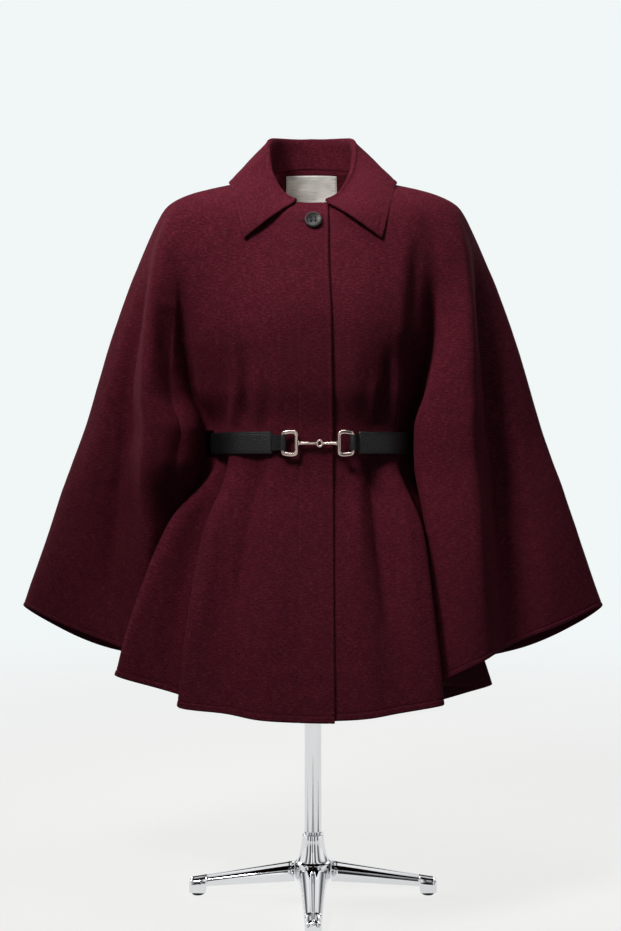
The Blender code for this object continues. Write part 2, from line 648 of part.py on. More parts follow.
def build_loop(name, bar, tail):
    """Leather turned round a ring's bar: an eye with a flat tail toward the strap."""
    hole, skin, height = RING["tube"] + 0.5, 1.7, 20.8
    go = tail[:2] - bar
    reach = np.linalg.norm(go)
    go /= reach
    cross = np.array((-go[1], go[0]))
    half = 1.7
    outer = []
    inner = []
    angles = [25, 50, 80, 110, 140, 170, 190, 220, 250, 280, 310, 335]
    for a in angles:
        t = math.radians(a)
        d = go * math.cos(t) + cross * math.sin(t)
        outer.append(bar + d * (hole + skin))
        inner.append(bar + d * hole)
    outer.append(bar + go * reach - cross * half)
    inner.append(bar + (go * math.cos(0.2) - cross * math.sin(0.2)) * hole)
    outer.append(bar + go * reach + cross * half)
    inner.append(bar + (go * math.cos(0.2) + cross * math.sin(0.2)) * hole)
    n = len(outer)
    points = []
    for z in (BELT["z"] - height / 2, BELT["z"] + height / 2):
        points += [(p[0], p[1], z) for p in outer]
        points += [(p[0], p[1], z) for p in inner]
    faces = []
    for k in range(n):
        m = (k + 1) % n
        faces.append((k, m, 2 * n + m, 2 * n + k))
        faces.append((n + m, n + k, 3 * n + k, 3 * n + m))
        faces.append((m, k, n + k, n + m))
        faces.append((2 * n + k, 2 * n + m, 3 * n + m, 3 * n + k))
    add_object(name, points, faces, LEATHER)


def build_clasp():
    """Two stirrup rings and the link between them."""
    tilt = math.radians(RING["tilt"])
    for name, ring_x, side in (("clasp_ring_right", RING["right_x"], -1),
                               ("clasp_ring_left", RING["left_x"], 1)):
        flat = list(RING_PATH) + [(p, -q) for p, q in reversed(RING_PATH[1:-1])]
        centre = np.array((ring_x, RING["y"], BELT["z"] - 1.0))
        right = np.array((side * math.cos(tilt), math.sin(tilt), 0.0))
        up = np.array((0.0, 0.0, 1.0))
        front = np.cross(right, up)
        path = [centre + right * p + up * q for p, q in flat]
        across = []
        for k in range(len(path)):
            go = path[(k + 1) % len(path)] - path[k - 1]
            go /= np.linalg.norm(go)
            across.append(np.cross(go, front))
        points, faces = sweep_loop(path, across, [front] * len(path), RING["tube"], 8)
        add_object(name, points, faces, METAL)
    left_end = RING["right_x"] + RING["width"] / 2 + 0.35
    right_end = RING["left_x"] - RING["width"] / 2 - 0.35
    r = LINK["radius"]
    hub = LINK["ring_wide"]
    swell = ((0.0, LINK["flare"]), (0.8, LINK["flare"]), (2.2, 3.5), (4.6, 2.5), (8.0, r))
    profile = [(left_end + d, w) for d, w in swell] + [(LINK["ring_x"] - hub + 0.9, r * 0.9)]
    mirror = [(LINK["ring_x"] + hub - 0.9, r * 0.9)] + [(right_end - d, w) for d, w in reversed(swell)]
    centre = (0, RING["y"], BELT["z"] - 1.0)
    points, faces = lathe(profile, 10, "x", centre)
    more, extra = lathe(mirror, 10, "x", centre)
    bar = add_object("clasp_link", points, faces, METAL)
    other = add_object("link_half", more, extra, METAL)
    path = []
    across = []
    count = 16
    for k in range(count):
        t = 2 * math.pi * k / count
        wide, high = hub - LINK["ring_tube"], LINK["ring_high"] - LINK["ring_tube"]
        path.append(np.array((LINK["ring_x"] + wide * math.cos(t), centre[1], centre[2] + high * math.sin(t))))
        across.append(np.array((math.cos(t), 0, math.sin(t))))
    pts, fcs = sweep_loop(path, across, [np.array((0, 1.0, 0))] * count, LINK["ring_tube"], 8)
    ring = add_object("link_ring", pts, fcs, METAL)
    join(bar, (other, ring))


def join(target, others):
    """Fuse other solids into the target."""
    for other in others:
        step = target.modifiers.new("fuse", "BOOLEAN")
        step.operation = "UNION"
        step.solver = "EXACT"
        step.object = other
        bpy.context.view_layer.update()
        graph = bpy.context.evaluated_depsgraph_get()
        mesh = bpy.data.meshes.new_from_object(target.evaluated_get(graph))
        target.modifiers.clear()
        target.data = mesh
    for other in others:
        bpy.data.objects.remove(other, do_unlink=True)


def build_form(sheets):
    """Limbless form that fills the shoulders of the cape, with a scooped neck."""
    right, left, back = sheets
    run = [(right, k, 1) for k in (1, 2, 3, 4, 5, 6, 7, 9, 11, 12)]
    run += [(back, k, 1) for k in range(len(back.lines))]
    run += [(left, k, -1) for k in (12, 11, 9, 7, 6, 5, 4, 3, 2, 1)]
    inset = CLOTH_WALL / 2 + FORM_GAP
    rings = [[] for _ in range(4)]
    turns = []
    for sheet, k, flip in run:
        if sheet is back:
            deep = math.sin(math.pi * k / (len(back.lines) - 1))
            rim = 6.0 + 62.0 * deep
        else:
            rim = 6.0
        extra = LAP_STEP + 0.4 if sheet is not back and k <= 2 else 0.0
        extra = 0.0 if sheet is left and k <= 2 else extra
        for n, row in enumerate((22.0, 45.0, 75.0, 105.0)):
            down = rim if n == 0 else max(row, rim + 4.0 * n)
            p = sheet.point(k, down) - sheet.normal(k, down, flip) * (inset + extra)
            rings[n].append(p)
        x, y = rings[3][-1][:2]
        turns.append(math.atan2(x / SHOULDER["side"], -y / SHOULDER["front"]))
    count = len(run)
    for z, side, front, deep, curve in FORM_RINGS:
        line = []
        for n, turn in enumerate(turns):
            c, s = math.cos(turn), math.sin(turn)
            power = 2 / curve
            x = side * math.copysign(abs(s) ** power, s)
            y = -(front if c > 0 else deep) * math.copysign(abs(c) ** power, c)
            line.append(np.array((x, y, z)))
        rings.append(line)
    inner = []
    for p, shrink in zip(rings[0], [0.94] * count):
        inner.append(np.array((p[0] * shrink, p[1] * shrink, p[2] - 3.0)))
    floor = [np.array((p[0] * 0.86, p[1] * 0.86, SCOOP_FLOOR)) for p in rings[0]]
    rings = [floor, inner] + rings
    points = [p for ring in rings for p in ring]
    faces = []
    for i in range(len(rings) - 1):
        for k in range(count):
            m = (k + 1) % count
            faces.append((i * count + k, i * count + m, (i + 1) * count + m, (i + 1) * count + k))
    top = len(points)
    points.append(np.mean(floor, axis=0))
    bottom = len(points)
    points.append(np.mean(rings[-1], axis=0))
    last = (len(rings) - 1) * count
    for k in range(count):
        m = (k + 1) % count
        faces.append((top, m, k))
        faces.append((bottom, last + k, last + m))
    add_object("form_torso", points, faces, ((0.62, 0.58, 0.52), 0.8))


def build_stand():
    """Pole, hub, four legs and their glides."""
    p = POLE
    profile = ((p["bottom"], p["radius"]), (p["top"] - p["flange_thick"] - 4, p["radius"]),
               (p["top"] - p["flange_thick"], p["flange"]), (p["top"], p["flange"]))
    add_object("stand_pole", *lathe(profile, 24), CHROME)
    add_object("stand_hub", *lathe(tuple(reversed(HUB)), 24), CHROME)
    for n, name in enumerate(("front", "left", "rear", "right")):
        turn = math.radians(-90 + 90 * n)
        build_leg(name, turn)


def build_leg(name, turn):
    """One tapered leg with a crowned top and a toe turned down over its glide."""
    section = ((-0.5, 0.0), (-0.5, 0.55), (-0.4, 0.8), (-0.2, 0.95), (0.0, 1.0), (0.2, 0.95),
               (0.4, 0.8), (0.5, 0.55), (0.5, 0.0))
    reach, toe = LEG["reach"], LEG["toe"]
    stops = [LEG["start"] + (toe - 2.0 - LEG["start"]) * k / 5 for k in range(6)]
    stops += [toe, reach - 6.0, reach - 1.8, reach]
    points = []
    for along in stops:
        share = (along - LEG["start"]) / (reach - LEG["start"])
        wide = LEG["width_in"] + (LEG["width_out"] - LEG["width_in"]) * share**0.8
        top = LEG["top_in"] + (LEG["top_out"] - LEG["top_in"]) * share
        under = LEG["under_in"] + (LEG["under_out"] - LEG["under_in"]) * share
        if along >= toe:
            under = LEG["toe_under"]
        if along > reach - 5.0:
            wide *= 0.86 if along < reach else 0.66
            top -= 1.6 if along < reach else 5.0
        for u, v in section:
            x, y, z = along, u * wide, under + (top - under) * v
            points.append((x * math.cos(turn) - y * math.sin(turn), x * math.sin(turn) + y * math.cos(turn), z))
    n = len(section)
    steps = len(stops) - 1
    faces = []
    for k in range(steps):
        for m in range(n):
            q = (m + 1) % n
            faces.append((k * n + m, k * n + q, (k + 1) * n + q, (k + 1) * n + m))
    faces.append(tuple(range(n)))
    faces.append(tuple(reversed(range(steps * n, steps * n + n))))
    add_object("stand_leg_" + name, points, faces, CHROME)
    centre = (GLIDE["at"] * math.cos(turn), GLIDE["at"] * math.sin(turn), 0)
    r = GLIDE["radius"]
    profile = ((0.0, r - 0.8), (0.8, r), (GLIDE["top"], r))
    add_object("stand_glide_" + name, *lathe(profile, 20, "z", centre), ((0.02, 0.02, 0.02), 0.6))


for old in list(bpy.data.objects):
    bpy.data.objects.remove(old, do_unlink=True)
SHEETS = build_sheets()
main_solids(SHEETS)
build_button(SHEETS[0])
build_belt()
build_clasp()
build_form(SHEETS)
build_stand()
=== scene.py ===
"""Dressed scene of a belted wool cape-poncho on a limbless form and a chrome stand.

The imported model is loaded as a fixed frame. Each sub-assembly below is a class that lays fine
cloth, leather or metal over its solids. Sizes are millimetres until a mesh is made.
The wearer's right is toward -X and the front faces -Y.
"""
from __future__ import annotations

import logging
import math
from dataclasses import dataclass, field
from enum import Enum
from typing import Any, Sequence

import bmesh
import bpy
import numpy as np
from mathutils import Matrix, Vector, noise

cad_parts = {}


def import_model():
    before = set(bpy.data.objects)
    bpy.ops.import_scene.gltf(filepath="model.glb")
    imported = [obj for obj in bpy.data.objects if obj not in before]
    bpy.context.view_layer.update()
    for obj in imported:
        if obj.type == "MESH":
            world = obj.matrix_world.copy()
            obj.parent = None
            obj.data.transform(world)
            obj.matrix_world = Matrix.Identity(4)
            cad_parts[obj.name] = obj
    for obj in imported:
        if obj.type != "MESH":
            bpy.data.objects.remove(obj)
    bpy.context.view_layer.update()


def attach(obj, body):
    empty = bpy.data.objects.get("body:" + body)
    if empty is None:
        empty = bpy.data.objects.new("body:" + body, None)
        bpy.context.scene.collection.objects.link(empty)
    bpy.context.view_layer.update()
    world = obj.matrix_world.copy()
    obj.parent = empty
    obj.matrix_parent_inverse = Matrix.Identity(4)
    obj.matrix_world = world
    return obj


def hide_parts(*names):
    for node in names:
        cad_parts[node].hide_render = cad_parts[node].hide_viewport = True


LOG = logging.getLogger("cape")
MM = 0.001
Point = np.ndarray
Path = Sequence[Sequence[float]]
Faces = list[tuple[int, ...]]
Solid = tuple[np.ndarray, Faces]
Material = bpy.types.Material
Object = bpy.types.Object
Tree = bpy.types.NodeTree


class Side(Enum):
    """Wearer's side of a piece, as the sign of X."""

    RIGHT = -1
    LEFT = 1


# Neck seam, yoke and shoulder rings, the same values as the part's source.
NECK = dict(side=72.0, front=70.0, back=64.0, z_front=965.0, z_side=1015.0, z_back=1042.0)
YOKE = dict(side=128.0, front=81.0, back=84.0, z_front=949.0, z_side=1000.0, z_back=985.0, power=2.6)
SHOULDER = dict(side=203.0, front=89.0, back=98.0, z_front=931.0, z_side=971.0, z_back=940.0, power=3.0)
YOKE_SHARE = 0.43
# The belt's slit, as distances down the cloth and the fold lines on each side of it.
SLIT_TOP, SLIT_LOW = 398.0, 436.0
SLIT_LINES = (7, 8)
# Thickness of the cloth's solids.
CAD_WALL = 2.5
# How far threads stand off the cloth they are sewn to.
THREAD_LIFT = 0.05
# How far the left front's edge lies behind the lap.
LAP_STEP = 4.0
LEVELS = ("neck", "yoke", "shoulder", "chest", "bust", "under", "belt_top", "belt_low",
          "hip", "skirt", "hem")
DOWN = (0.0, 45.0, 105.0, 150.0, 252.0, 340.0, 398.0, 436.0, 540.0, 645.0, 755.0)
LEVEL_Z = dict(chest=900.0, bust=800.0, under=715.0, belt_top=657.0, belt_low=619.0)
HEM_SHARE = dict(hip=0.68, skirt=0.34, hem=0.0)
SWING = 6.5

# Fold lines of the fronts, centre edge to overarm. First line of a row: name, fine columns to the next,
# neck angle, shoulder out, (out, forward) at chest, bust, under and belt. Second line: (out, forward) at
# hip, skirt and hem, hem height and how far the belt swings it.
RIGHT_FRONT = (
    ("edge", 26, -16, -20, (-20, 99), (-23.5, 119), (-25, 116), (-26, 108),
     (-26, 131), (-26, 172), (-26, 216), 287, 0),
    ("lap", 16, 17, 21, (21, 99.5), (21, 119.5), (21, 116.5), (21, 108),
     (21, 132), (21, 173), (21, 216), 288, 0),
    ("middle", 10, 34, 55, (57, 98), (58, 117), (52, 113), (48, 100.5),
     (55, 130), (62, 170), (68, 211), 290, 0),
    ("valley", 12, 46, 80, (86, 95), (84, 108), (78, 101), (75, 87),
     (88, 115), (100, 150), (110, 190), 294, 0),
    ("body", 10, 54, 105, (112, 91.5), (110, 99), (104, 88), (111, 65.5),
     (142, 104), (159, 143), (172, 178), 300, 0),
    ("tuck", 10, 60, 124, (132, 87.5), (131, 88), (117, 74), (119, 45),
     (138, 71), (156, 104), (167, 138), 305, 0),
    ("flute", 10, 65, 140, (156, 82), (158, 71), (155, 44), (135, 24),
     (190, 60), (227, 100), (258, 140), 334, 0),
    ("slit_in", 6, 70, 156, (176, 75.5), (172, 56), (162, 25), (139, 13),
     (160, 22), (172, 42), (184, 64), 318, 0),
    ("slit_out", 10, 72, 161, (183, 74.5), (179, 54), (172, 22), (152, 9),
     (170, 13), (181, 32), (193, 55), 322, 0.1),
    ("wing_in", 12, 75, 170, (192, 74), (187, 68), (182, 66), (172, 80),
     (186, 38), (206, 53), (214, 68), 345, 0.3),
    ("ridge", 12, 80, 184, (211, 70), (222, 83), (224, 88), (224, 88),
     (224, 73), (228, 70), (237, 84), 355, 0.3),
    ("trough", 10, 84, 193, (223, 40), (242, 38), (256, 35), (262, 33),
     (271, 31), (280, 36), (269, 58), 361, 0.5),
    ("band", 12, 87, 200, (234, 20), (262, 23), (285, 25), (301, 26),
     (321, 27), (338, 33), (346, 38), 388, 0.8),
    ("overarm", 0, 90, 203, (243, 0), (280, 0), (307, 0), (331, 0),
     (361, 0), (385, 0), (410, 0), 410, 1),
)
LEFT_FRONT = (
    ("edge", 16, -16, -22, (-22, 99), (-22, 119), (-22, 116), (-22, 108),
     (-22, 130.5), (-22, 171), (-22, 213), 289, 0),
    ("lap", 14, 18, 24, (24, 99), (26, 119), (27, 116), (27, 107),
     (28, 130.5), (29, 171), (30, 213), 289, 0),
    ("middle", 10, 34, 55, (57, 98), (58, 117), (54, 112), (52, 99),
     (58, 129), (64, 168), (70, 208), 291, 0),
    ("valley", 12, 46, 80, (86, 95), (84, 110), (82, 99), (80, 84),
     (88, 112), (98, 148), (108, 188), 294, 0),
    ("body", 10, 54, 105, (112, 91.5), (112, 99), (112, 81), (111, 65.5),
     (143, 100), (154, 135), (167, 165), 300, 0),
    ("tuck", 10, 60, 122, (128, 88), (127, 91), (122, 66), (119, 44),
     (139, 68), (149, 98), (158, 120), 294, 0),
    ("flute", 10, 65, 137, (145, 83), (145, 76), (137, 44), (135, 24),
     (160, 42), (180, 58), (205, 65), 297, 0),
    ("slit_in", 6, 70, 150, (161, 76), (159, 55), (147, 30), (139, 13),
     (175, 26), (208, 29), (245, 17), 298, 0),
    ("slit_out", 10, 72, 155, (169, 75), (166, 53), (156, 26), (153, 11),
     (184, 19), (216, 20), (252, 8), 299, 0),
    ("wing_in", 12, 75, 162, (179, 75), (176, 69), (160, 72), (141, 62),
     (153, 85), (162, 106), (170, 130), 323, 0),
    ("ridge", 12, 80, 182, (207, 67), (213, 79), (212, 84), (213, 88),
     (219, 100), (222, 115), (225, 130), 352, 0.1),
    ("trough", 10, 84, 193, (221, 38), (233, 35), (243, 32), (250, 31),
     (259, 34), (266, 44), (272, 64), 364, 0.4),
    ("band", 12, 87, 200, (233, 19), (257, 22), (277, 24), (292, 25),
     (312, 28), (329, 36), (343, 42), 388, 0.8),
    ("overarm", 0, 90, 203, (243, 0), (280, 0), (307, 0), (331, 0),
     (361, 0), (385, 0), (410, 0), 410, 1),
)
BACK_DEPTH = dict(chest=112.0, bust=124.0, under=128.0, belt_top=132.0, belt_low=135.0,
                  hip=153.0, skirt=175.5, hem=201.9)
# Fold lines of the back: name, fine columns, turn, how far it stands out at the hem, hem height.
BACK_FOLDS = (
    ("out_right", 14, 14, 2, 388), ("hollow_right", 14, 30, -16, 352), ("flute_right", 14, 46, 12, 322),
    ("dip_right", 14, 61, -20, 306), ("ridge_right", 14, 76, 18, 297), ("centre", 14, 91, -9, 296),
    ("ridge_left", 14, 104, 20, 297), ("dip_left", 14, 118, -22, 305), ("flute_left", 14, 134, 10, 320),
    ("hollow_left", 14, 150, -14, 350), ("out_left", 14, 166, 2, 386),
)
BACK_GROWTH = dict(chest=0.05, bust=0.2, under=0.35, belt_top=0.45, belt_low=0.52, hip=0.68,
                   skirt=0.84, hem=1.0)
BACK_POWER = 2.15

# Creases laid on the cloth: height, half width, then (fold line, distance down) points.
RIGHT_CREASES = (
    (4.6, 8.5, ((4.1, 290), (4.0, 340), (3.9, 380), (3.85, 396))),
    (-5.0, 8.0, ((3.5, 280), (3.5, 330), (3.4, 372), (3.35, 394))),
    (3.4, 7.0, ((3.0, 320), (2.95, 362), (2.9, 394))),
    (-3.0, 7.0, ((2.3, 335), (2.35, 372), (2.4, 396))),
    (-8.0, 10.0, ((2.9, 438), (2.95, 475), (3.0, 560), (3.0, 640))),
    (5.0, 10.0, ((2.3, 440), (2.2, 490), (2.1, 580))),
    (3.6, 14.0, ((5.0, 130), (4.6, 190), (4.3, 250), (4.1, 300))),
    (-3.0, 13.0, ((4.2, 120), (3.8, 190), (3.5, 260))),
    (4.5, 10.0, ((9.9, 190), (10.0, 330), (10.0, 500), (10.0, 640))),
    (-9.0, 10.0, ((10.9, 170), (11.0, 330), (11.0, 520), (11.0, 700))),
    (3.0, 14.0, ((12.0, 330), (12.1, 480), (12.2, 660))),
    (-2.6, 15.0, ((9.2, 430), (9.3, 560), (9.3, 700))),
    (2.4, 12.0, ((12.6, 420), (12.6, 540), (12.6, 660))),
    (2.6, 16.0, ((1.6, 520), (1.7, 610), (1.75, 700))),
    (3.0, 12.0, ((4.0, 438), (4.0, 530), (4.0, 640), (4.0, 740))),
    (-7.0, 9.0, ((5.0, 438), (5.0, 530), (5.0, 640), (5.0, 740))),
    (8.0, 14.0, ((5.9, 450), (6.0, 560), (6.0, 750))),
    (-12.0, 18.0, ((5.3, 445), (5.3, 560), (5.3, 760))),
    (-18.0, 24.0, ((9.2, 220), (9.1, 320), (9.0, 400), (9.2, 500))),
    (6.0, 11.0, ((3.7, 440), (3.7, 520), (3.7, 610), (3.7, 700))),
)
LEFT_CREASES = (
    (4.4, 8.0, ((4.2, 300), (4.1, 350), (4.05, 394))),
    (-5.0, 8.0, ((3.6, 290), (3.6, 350), (3.5, 394))),
    (3.0, 7.0, ((3.0, 325), (2.95, 365), (2.95, 394))),
    (-8.0, 10.0, ((2.9, 438), (2.95, 480), (3.0, 570), (3.0, 660))),
    (6.0, 10.0, ((3.6, 440), (3.6, 500), (3.6, 600), (3.6, 690))),
    (-3.6, 14.0, ((6.0, 120), (5.6, 180), (5.4, 250), (5.3, 320))),
    (3.4, 14.0, ((4.9, 130), (4.5, 200), (4.3, 290))),
    (4.5, 10.0, ((10.0, 180), (10.0, 330), (10.0, 500), (10.0, 680))),
    (-8.0, 10.0, ((10.9, 170), (11.0, 330), (11.0, 520), (11.0, 690))),
    (3.0, 14.0, ((12.0, 330), (12.0, 480), (12.1, 660))),
    (-2.6, 14.0, ((9.2, 330), (9.3, 470), (9.2, 640))),
    (2.2, 14.0, ((12.6, 420), (12.5, 540), (12.6, 660))),
    (-2.6, 16.0, ((1.8, 520), (1.9, 610), (2.0, 700))),
    (4.5, 9.0, ((4.0, 438), (4.0, 530), (4.0, 640), (4.0, 740))),
    (-5.0, 9.0, ((5.0, 438), (5.0, 530), (5.0, 640), (5.0, 740))),
    (4.0, 11.0, ((2.2, 440), (2.1, 490), (2.1, 590))),
)
BACK_CREASES = (
    (1.8, 14.0, ((2.6, 190), (2.7, 300), (2.7, 420), (2.6, 540))),
    (-1.8, 14.0, ((3.5, 150), (3.7, 270), (3.6, 410))),
    (1.6, 12.0, ((4.4, 300), (4.5, 440), (4.4, 600))),
    (-1.5, 13.0, ((5.4, 420), (5.5, 560), (5.5, 700))),
    (1.7, 14.0, ((6.6, 180), (6.5, 320), (6.6, 500))),
    (-1.6, 12.0, ((7.3, 260), (7.5, 400), (7.4, 580))),
    (1.9, 15.0, ((8.6, 160), (8.4, 300), (8.5, 460))),
    (-1.7, 14.0, ((9.4, 240), (9.3, 400), (9.4, 610))),
    (1.4, 14.0, ((10.4, 300), (10.5, 440), (10.4, 620))),
)


def linear(code: str) -> tuple[float, float, float, float]:
    """Turn an sRGB hex colour to linear light.

    Args:
        code: Colour such as "#3C111C".
    Returns:
        Linear red, green and blue, with alpha 1.
    """
    parts = [int(code[k:k + 2], 16) / 255 for k in (1, 3, 5)]
    return (*(c / 12.92 if c <= 0.04045 else ((c + 0.055) / 1.055) ** 2.4 for c in parts), 1.0)


def given_by(source: Any) -> Any:
    """The socket that a node gives out, or the socket or plain value itself."""
    if isinstance(source, bpy.types.Node):
        return next(socket for socket in source.outputs if socket.enabled)
    return source


def add_node(tree: Tree, kind: str, inputs: dict[Any, Any] | None = None,
             **settings: Any) -> bpy.types.Node:
    """Add one node with its settings and links.

    Args:
        tree: Tree that gets the node.
        kind: The node's type name.
        inputs: Values, or nodes or sockets to link, by input name or number.
        settings: Properties of the node.
    Returns:
        The new node.
    """
    made = tree.nodes.new(kind)
    for key, value in settings.items():
        setattr(made, key, value)
    for key, value in (inputs or {}).items():
        value = given_by(value)
        if isinstance(value, bpy.types.NodeSocket):
            tree.links.new(value, made.inputs[key])
        else:
            made.inputs[key].default_value = value
    return made


def wire(tree: Tree, shader: bpy.types.Node, **sources: Any) -> None:
    """Link nodes to the shader's sockets by name, with _ for a space."""
    for key, source in sources.items():
        tree.links.new(given_by(source), shader.inputs[key.replace("_", " ")])


def blank(name: str, **sockets: Any) -> tuple[Material, bpy.types.Node]:
    """Start a material with its constants on the shader's own sockets.

    Args:
        name: Common name of the real material.
        sockets: Values by socket name, with _ for a space.
    Returns:
        The material and its shader node.
    """
    mat = bpy.data.materials.new(name)
    mat.use_nodes = True
    shader = mat.node_tree.nodes["Principled BSDF"]
    for key, value in sockets.items():
        shader.inputs[key.replace("_", " ")].default_value = value
    return mat, shader


@dataclass(frozen=True)
class WoolMelton:
    """Heathered wool melton, woven, milled and raised: matt, felted, dark and bright fibres mixed."""

    dark: str = "#380E18"
    body: str = "#561826"
    bright: str = "#6E2B3A"
    # Fibres are 0.03 mm thick; they are drawn as flecks this long and high so that the mix shows.
    fleck: tuple[float, float] = (6.5, 1.5)
    felt: float = 0.9
    mottle: float = 14.0

    def build(self) -> Material:
        """Make the material on the cloth's own UV map, which is in metres."""
        mat, shader = blank("heathered_wool_melton", Roughness=0.93, Diffuse_Roughness=0.1,
                            Specular_IOR_Level=0.05, Sheen_Weight=0.05, Sheen_Roughness=0.4,
                            Sheen_Tint=linear("#A0505F"))
        tree = mat.node_tree
        uv = add_node(tree, "ShaderNodeUVMap", uv_map="cloth")
        along, high = self.fleck
        lay = add_node(tree, "ShaderNodeMapping", {"Vector": uv, "Scale": (1000 / along, 1000 / high, 1)})
        fleck = add_node(tree, "ShaderNodeTexNoise", {"Vector": lay, "Scale": 1.0, "Detail": 3.0,
                                                      "Roughness": 0.62}, noise_dimensions="2D")
        cross = add_node(tree, "ShaderNodeMapping", {"Vector": uv, "Scale": (1000 / 1.5, 1000 / 3.4, 1),
                                                     "Location": (3.1, 7.7, 0)})
        warp = add_node(tree, "ShaderNodeTexNoise", {"Vector": cross, "Scale": 1.0, "Detail": 2.0},
                        noise_dimensions="2D")
        patch = add_node(tree, "ShaderNodeTexNoise", {"Vector": uv, "Scale": 1000 / self.mottle,
                                                      "Detail": 3.0}, noise_dimensions="2D")
        lift = add_node(tree, "ShaderNodeMapRange", {0: fleck, 1: 0.5, 2: 0.8})
        sink = add_node(tree, "ShaderNodeMapRange", {0: warp, 1: 0.5, 2: 0.3})
        cloud = add_node(tree, "ShaderNodeMapRange", {0: patch, 1: 0.3, 2: 0.7, 3: 0.0, 4: 0.3})
        first = add_node(tree, "ShaderNodeMix", {0: sink, 6: linear(self.body), 7: linear(self.dark)},
                         data_type="RGBA")
        second = add_node(tree, "ShaderNodeMix", {0: lift, 6: first, 7: linear(self.bright)},
                          data_type="RGBA")
        third = add_node(tree, "ShaderNodeMix", {0: cloud, 6: second, 7: linear(self.dark)},
                         data_type="RGBA")
        nap = add_node(tree, "ShaderNodeTexNoise", {"Vector": uv, "Scale": 1000 / self.felt, "Detail": 3.0},
                       noise_dimensions="2D")
        height = add_node(tree, "ShaderNodeMath", {0: nap, 1: fleck}, operation="ADD")
        bump = add_node(tree, "ShaderNodeBump", {"Height": height, "Strength": 0.55, "Distance": 0.0006})
        wire(tree, shader, Base_Color=third, Normal=bump)
        return mat


@dataclass(frozen=True)
class SewingThread:
    """Twisted polyester sewing thread: a slight shine on the cloth's own colour."""

    colour: str = "#340B14"
    rough: float = 0.75
    name: str = "polyester_thread"

    def build(self) -> Material:
        """Make the material, with the twist of the plies as a fine band of bump."""
        mat, shader = blank(self.name, Roughness=self.rough, Base_Color=linear(self.colour),
                            Specular_IOR_Level=0.2)
        tree = mat.node_tree
        spot = add_node(tree, "ShaderNodeTexCoord").outputs["Object"]
        ply = add_node(tree, "ShaderNodeTexWave", {"Vector": spot, "Scale": 900.0, "Distortion": 1.5},
                       bands_direction="DIAGONAL")
        bump = add_node(tree, "ShaderNodeBump", {"Height": ply.outputs[1], "Strength": 0.3,
                                                 "Distance": 0.0002})
        wire(tree, shader, Normal=bump)
        return mat


@dataclass(frozen=True)
class WovenSatin:
    """Polyester satin tape: silver grey floats that shine across the weave, with broad patches of painted
    reflection in its colour.
    """

    # Lit and shaded tones of the satin, mixed by the floats' streaks and by broad patches of painted
    # reflection.
    light: str = "#EDECEB"
    shade: str = "#BDBCBB"

    def build(self) -> Material:
        """Make the material on the label's UV map, floats 0.5 mm wide drawn as 1.2 mm."""
        mat, shader = blank("woven_satin_tape", Roughness=0.36, Anisotropic=0.6, Sheen_Weight=0.2,
                            Specular_IOR_Level=0.6)
        tree = mat.node_tree
        uv = add_node(tree, "ShaderNodeUVMap", uv_map="cloth")
        lay = add_node(tree, "ShaderNodeMapping", {"Vector": uv, "Scale": (60, 850, 1)})
        floats = add_node(tree, "ShaderNodeTexNoise", {"Vector": lay, "Scale": 1.0, "Detail": 2.0},
                          noise_dimensions="2D")
        # Broad patches of painted reflection, added to the floats' own streaks.
        wave = add_node(tree, "ShaderNodeTexNoise", {"Vector": uv, "Scale": 38.0, "Detail": 1.0},
                        noise_dimensions="2D")
        both = add_node(tree, "ShaderNodeMath", {0: floats, 1: wave}, operation="ADD")
        share = add_node(tree, "ShaderNodeMapRange", {0: both, 1: 0.7, 2: 1.3})
        tone = add_node(tree, "ShaderNodeMix", {0: share, 6: linear(self.shade), 7: linear(self.light)},
                        data_type="RGBA")
        bump = add_node(tree, "ShaderNodeBump", {"Height": floats, "Strength": 0.25, "Distance": 0.0003})
        wire(tree, shader, Base_Color=tone, Normal=bump)
        return mat


@dataclass(frozen=True)
class PebbledLeather:
    """Embossed cowhide, dyed black and sealed: rounded pebbles with a soft shine, dull creases with painted
    shade in them.
    """

    # Pebble tops, then the darker crease tone, which is painted shade between the pebbles.
    crown: str = "#0E1011"
    crease: str = "#020203"
    # Pebbles are about 1 mm across on the real strap; drawn 2.3 mm so that they show.
    pebble: float = 2.3

    def build(self) -> Material:
        """Make the material on the strap's UV map, which is in metres."""
        mat, shader = blank("pebbled_cowhide", Specular_IOR_Level=0.28, Coat_Weight=0.08, Coat_Roughness=0.25)
        tree = mat.node_tree
        uv = add_node(tree, "ShaderNodeUVMap", uv_map="cloth")
        cell = add_node(tree, "ShaderNodeTexVoronoi", {"Vector": uv, "Scale": 1000 / self.pebble,
                                                       "Randomness": 0.9},
                        voronoi_dimensions="2D", feature="SMOOTH_F1")
        # Painted shade: the colour darkens from the pebble tops into the creases between them.
        painted_crease_shade = add_node(tree, "ShaderNodeMapRange", {0: cell, 1: 0.15, 2: 0.62})
        tone = add_node(tree, "ShaderNodeMix", {0: painted_crease_shade, 6: linear(self.crown), 7: linear(self.crease)},
                        data_type="RGBA")
        rough = add_node(tree, "ShaderNodeMapRange", {0: cell, 1: 0.1, 2: 0.6, 3: 0.3, 4: 0.6})
        bump = add_node(tree, "ShaderNodeBump", {"Height": cell, "Strength": 1.0, "Distance": 0.0009},
                        invert=True)
        wire(tree, shader, Base_Color=tone, Roughness=rough, Normal=bump)
        return mat


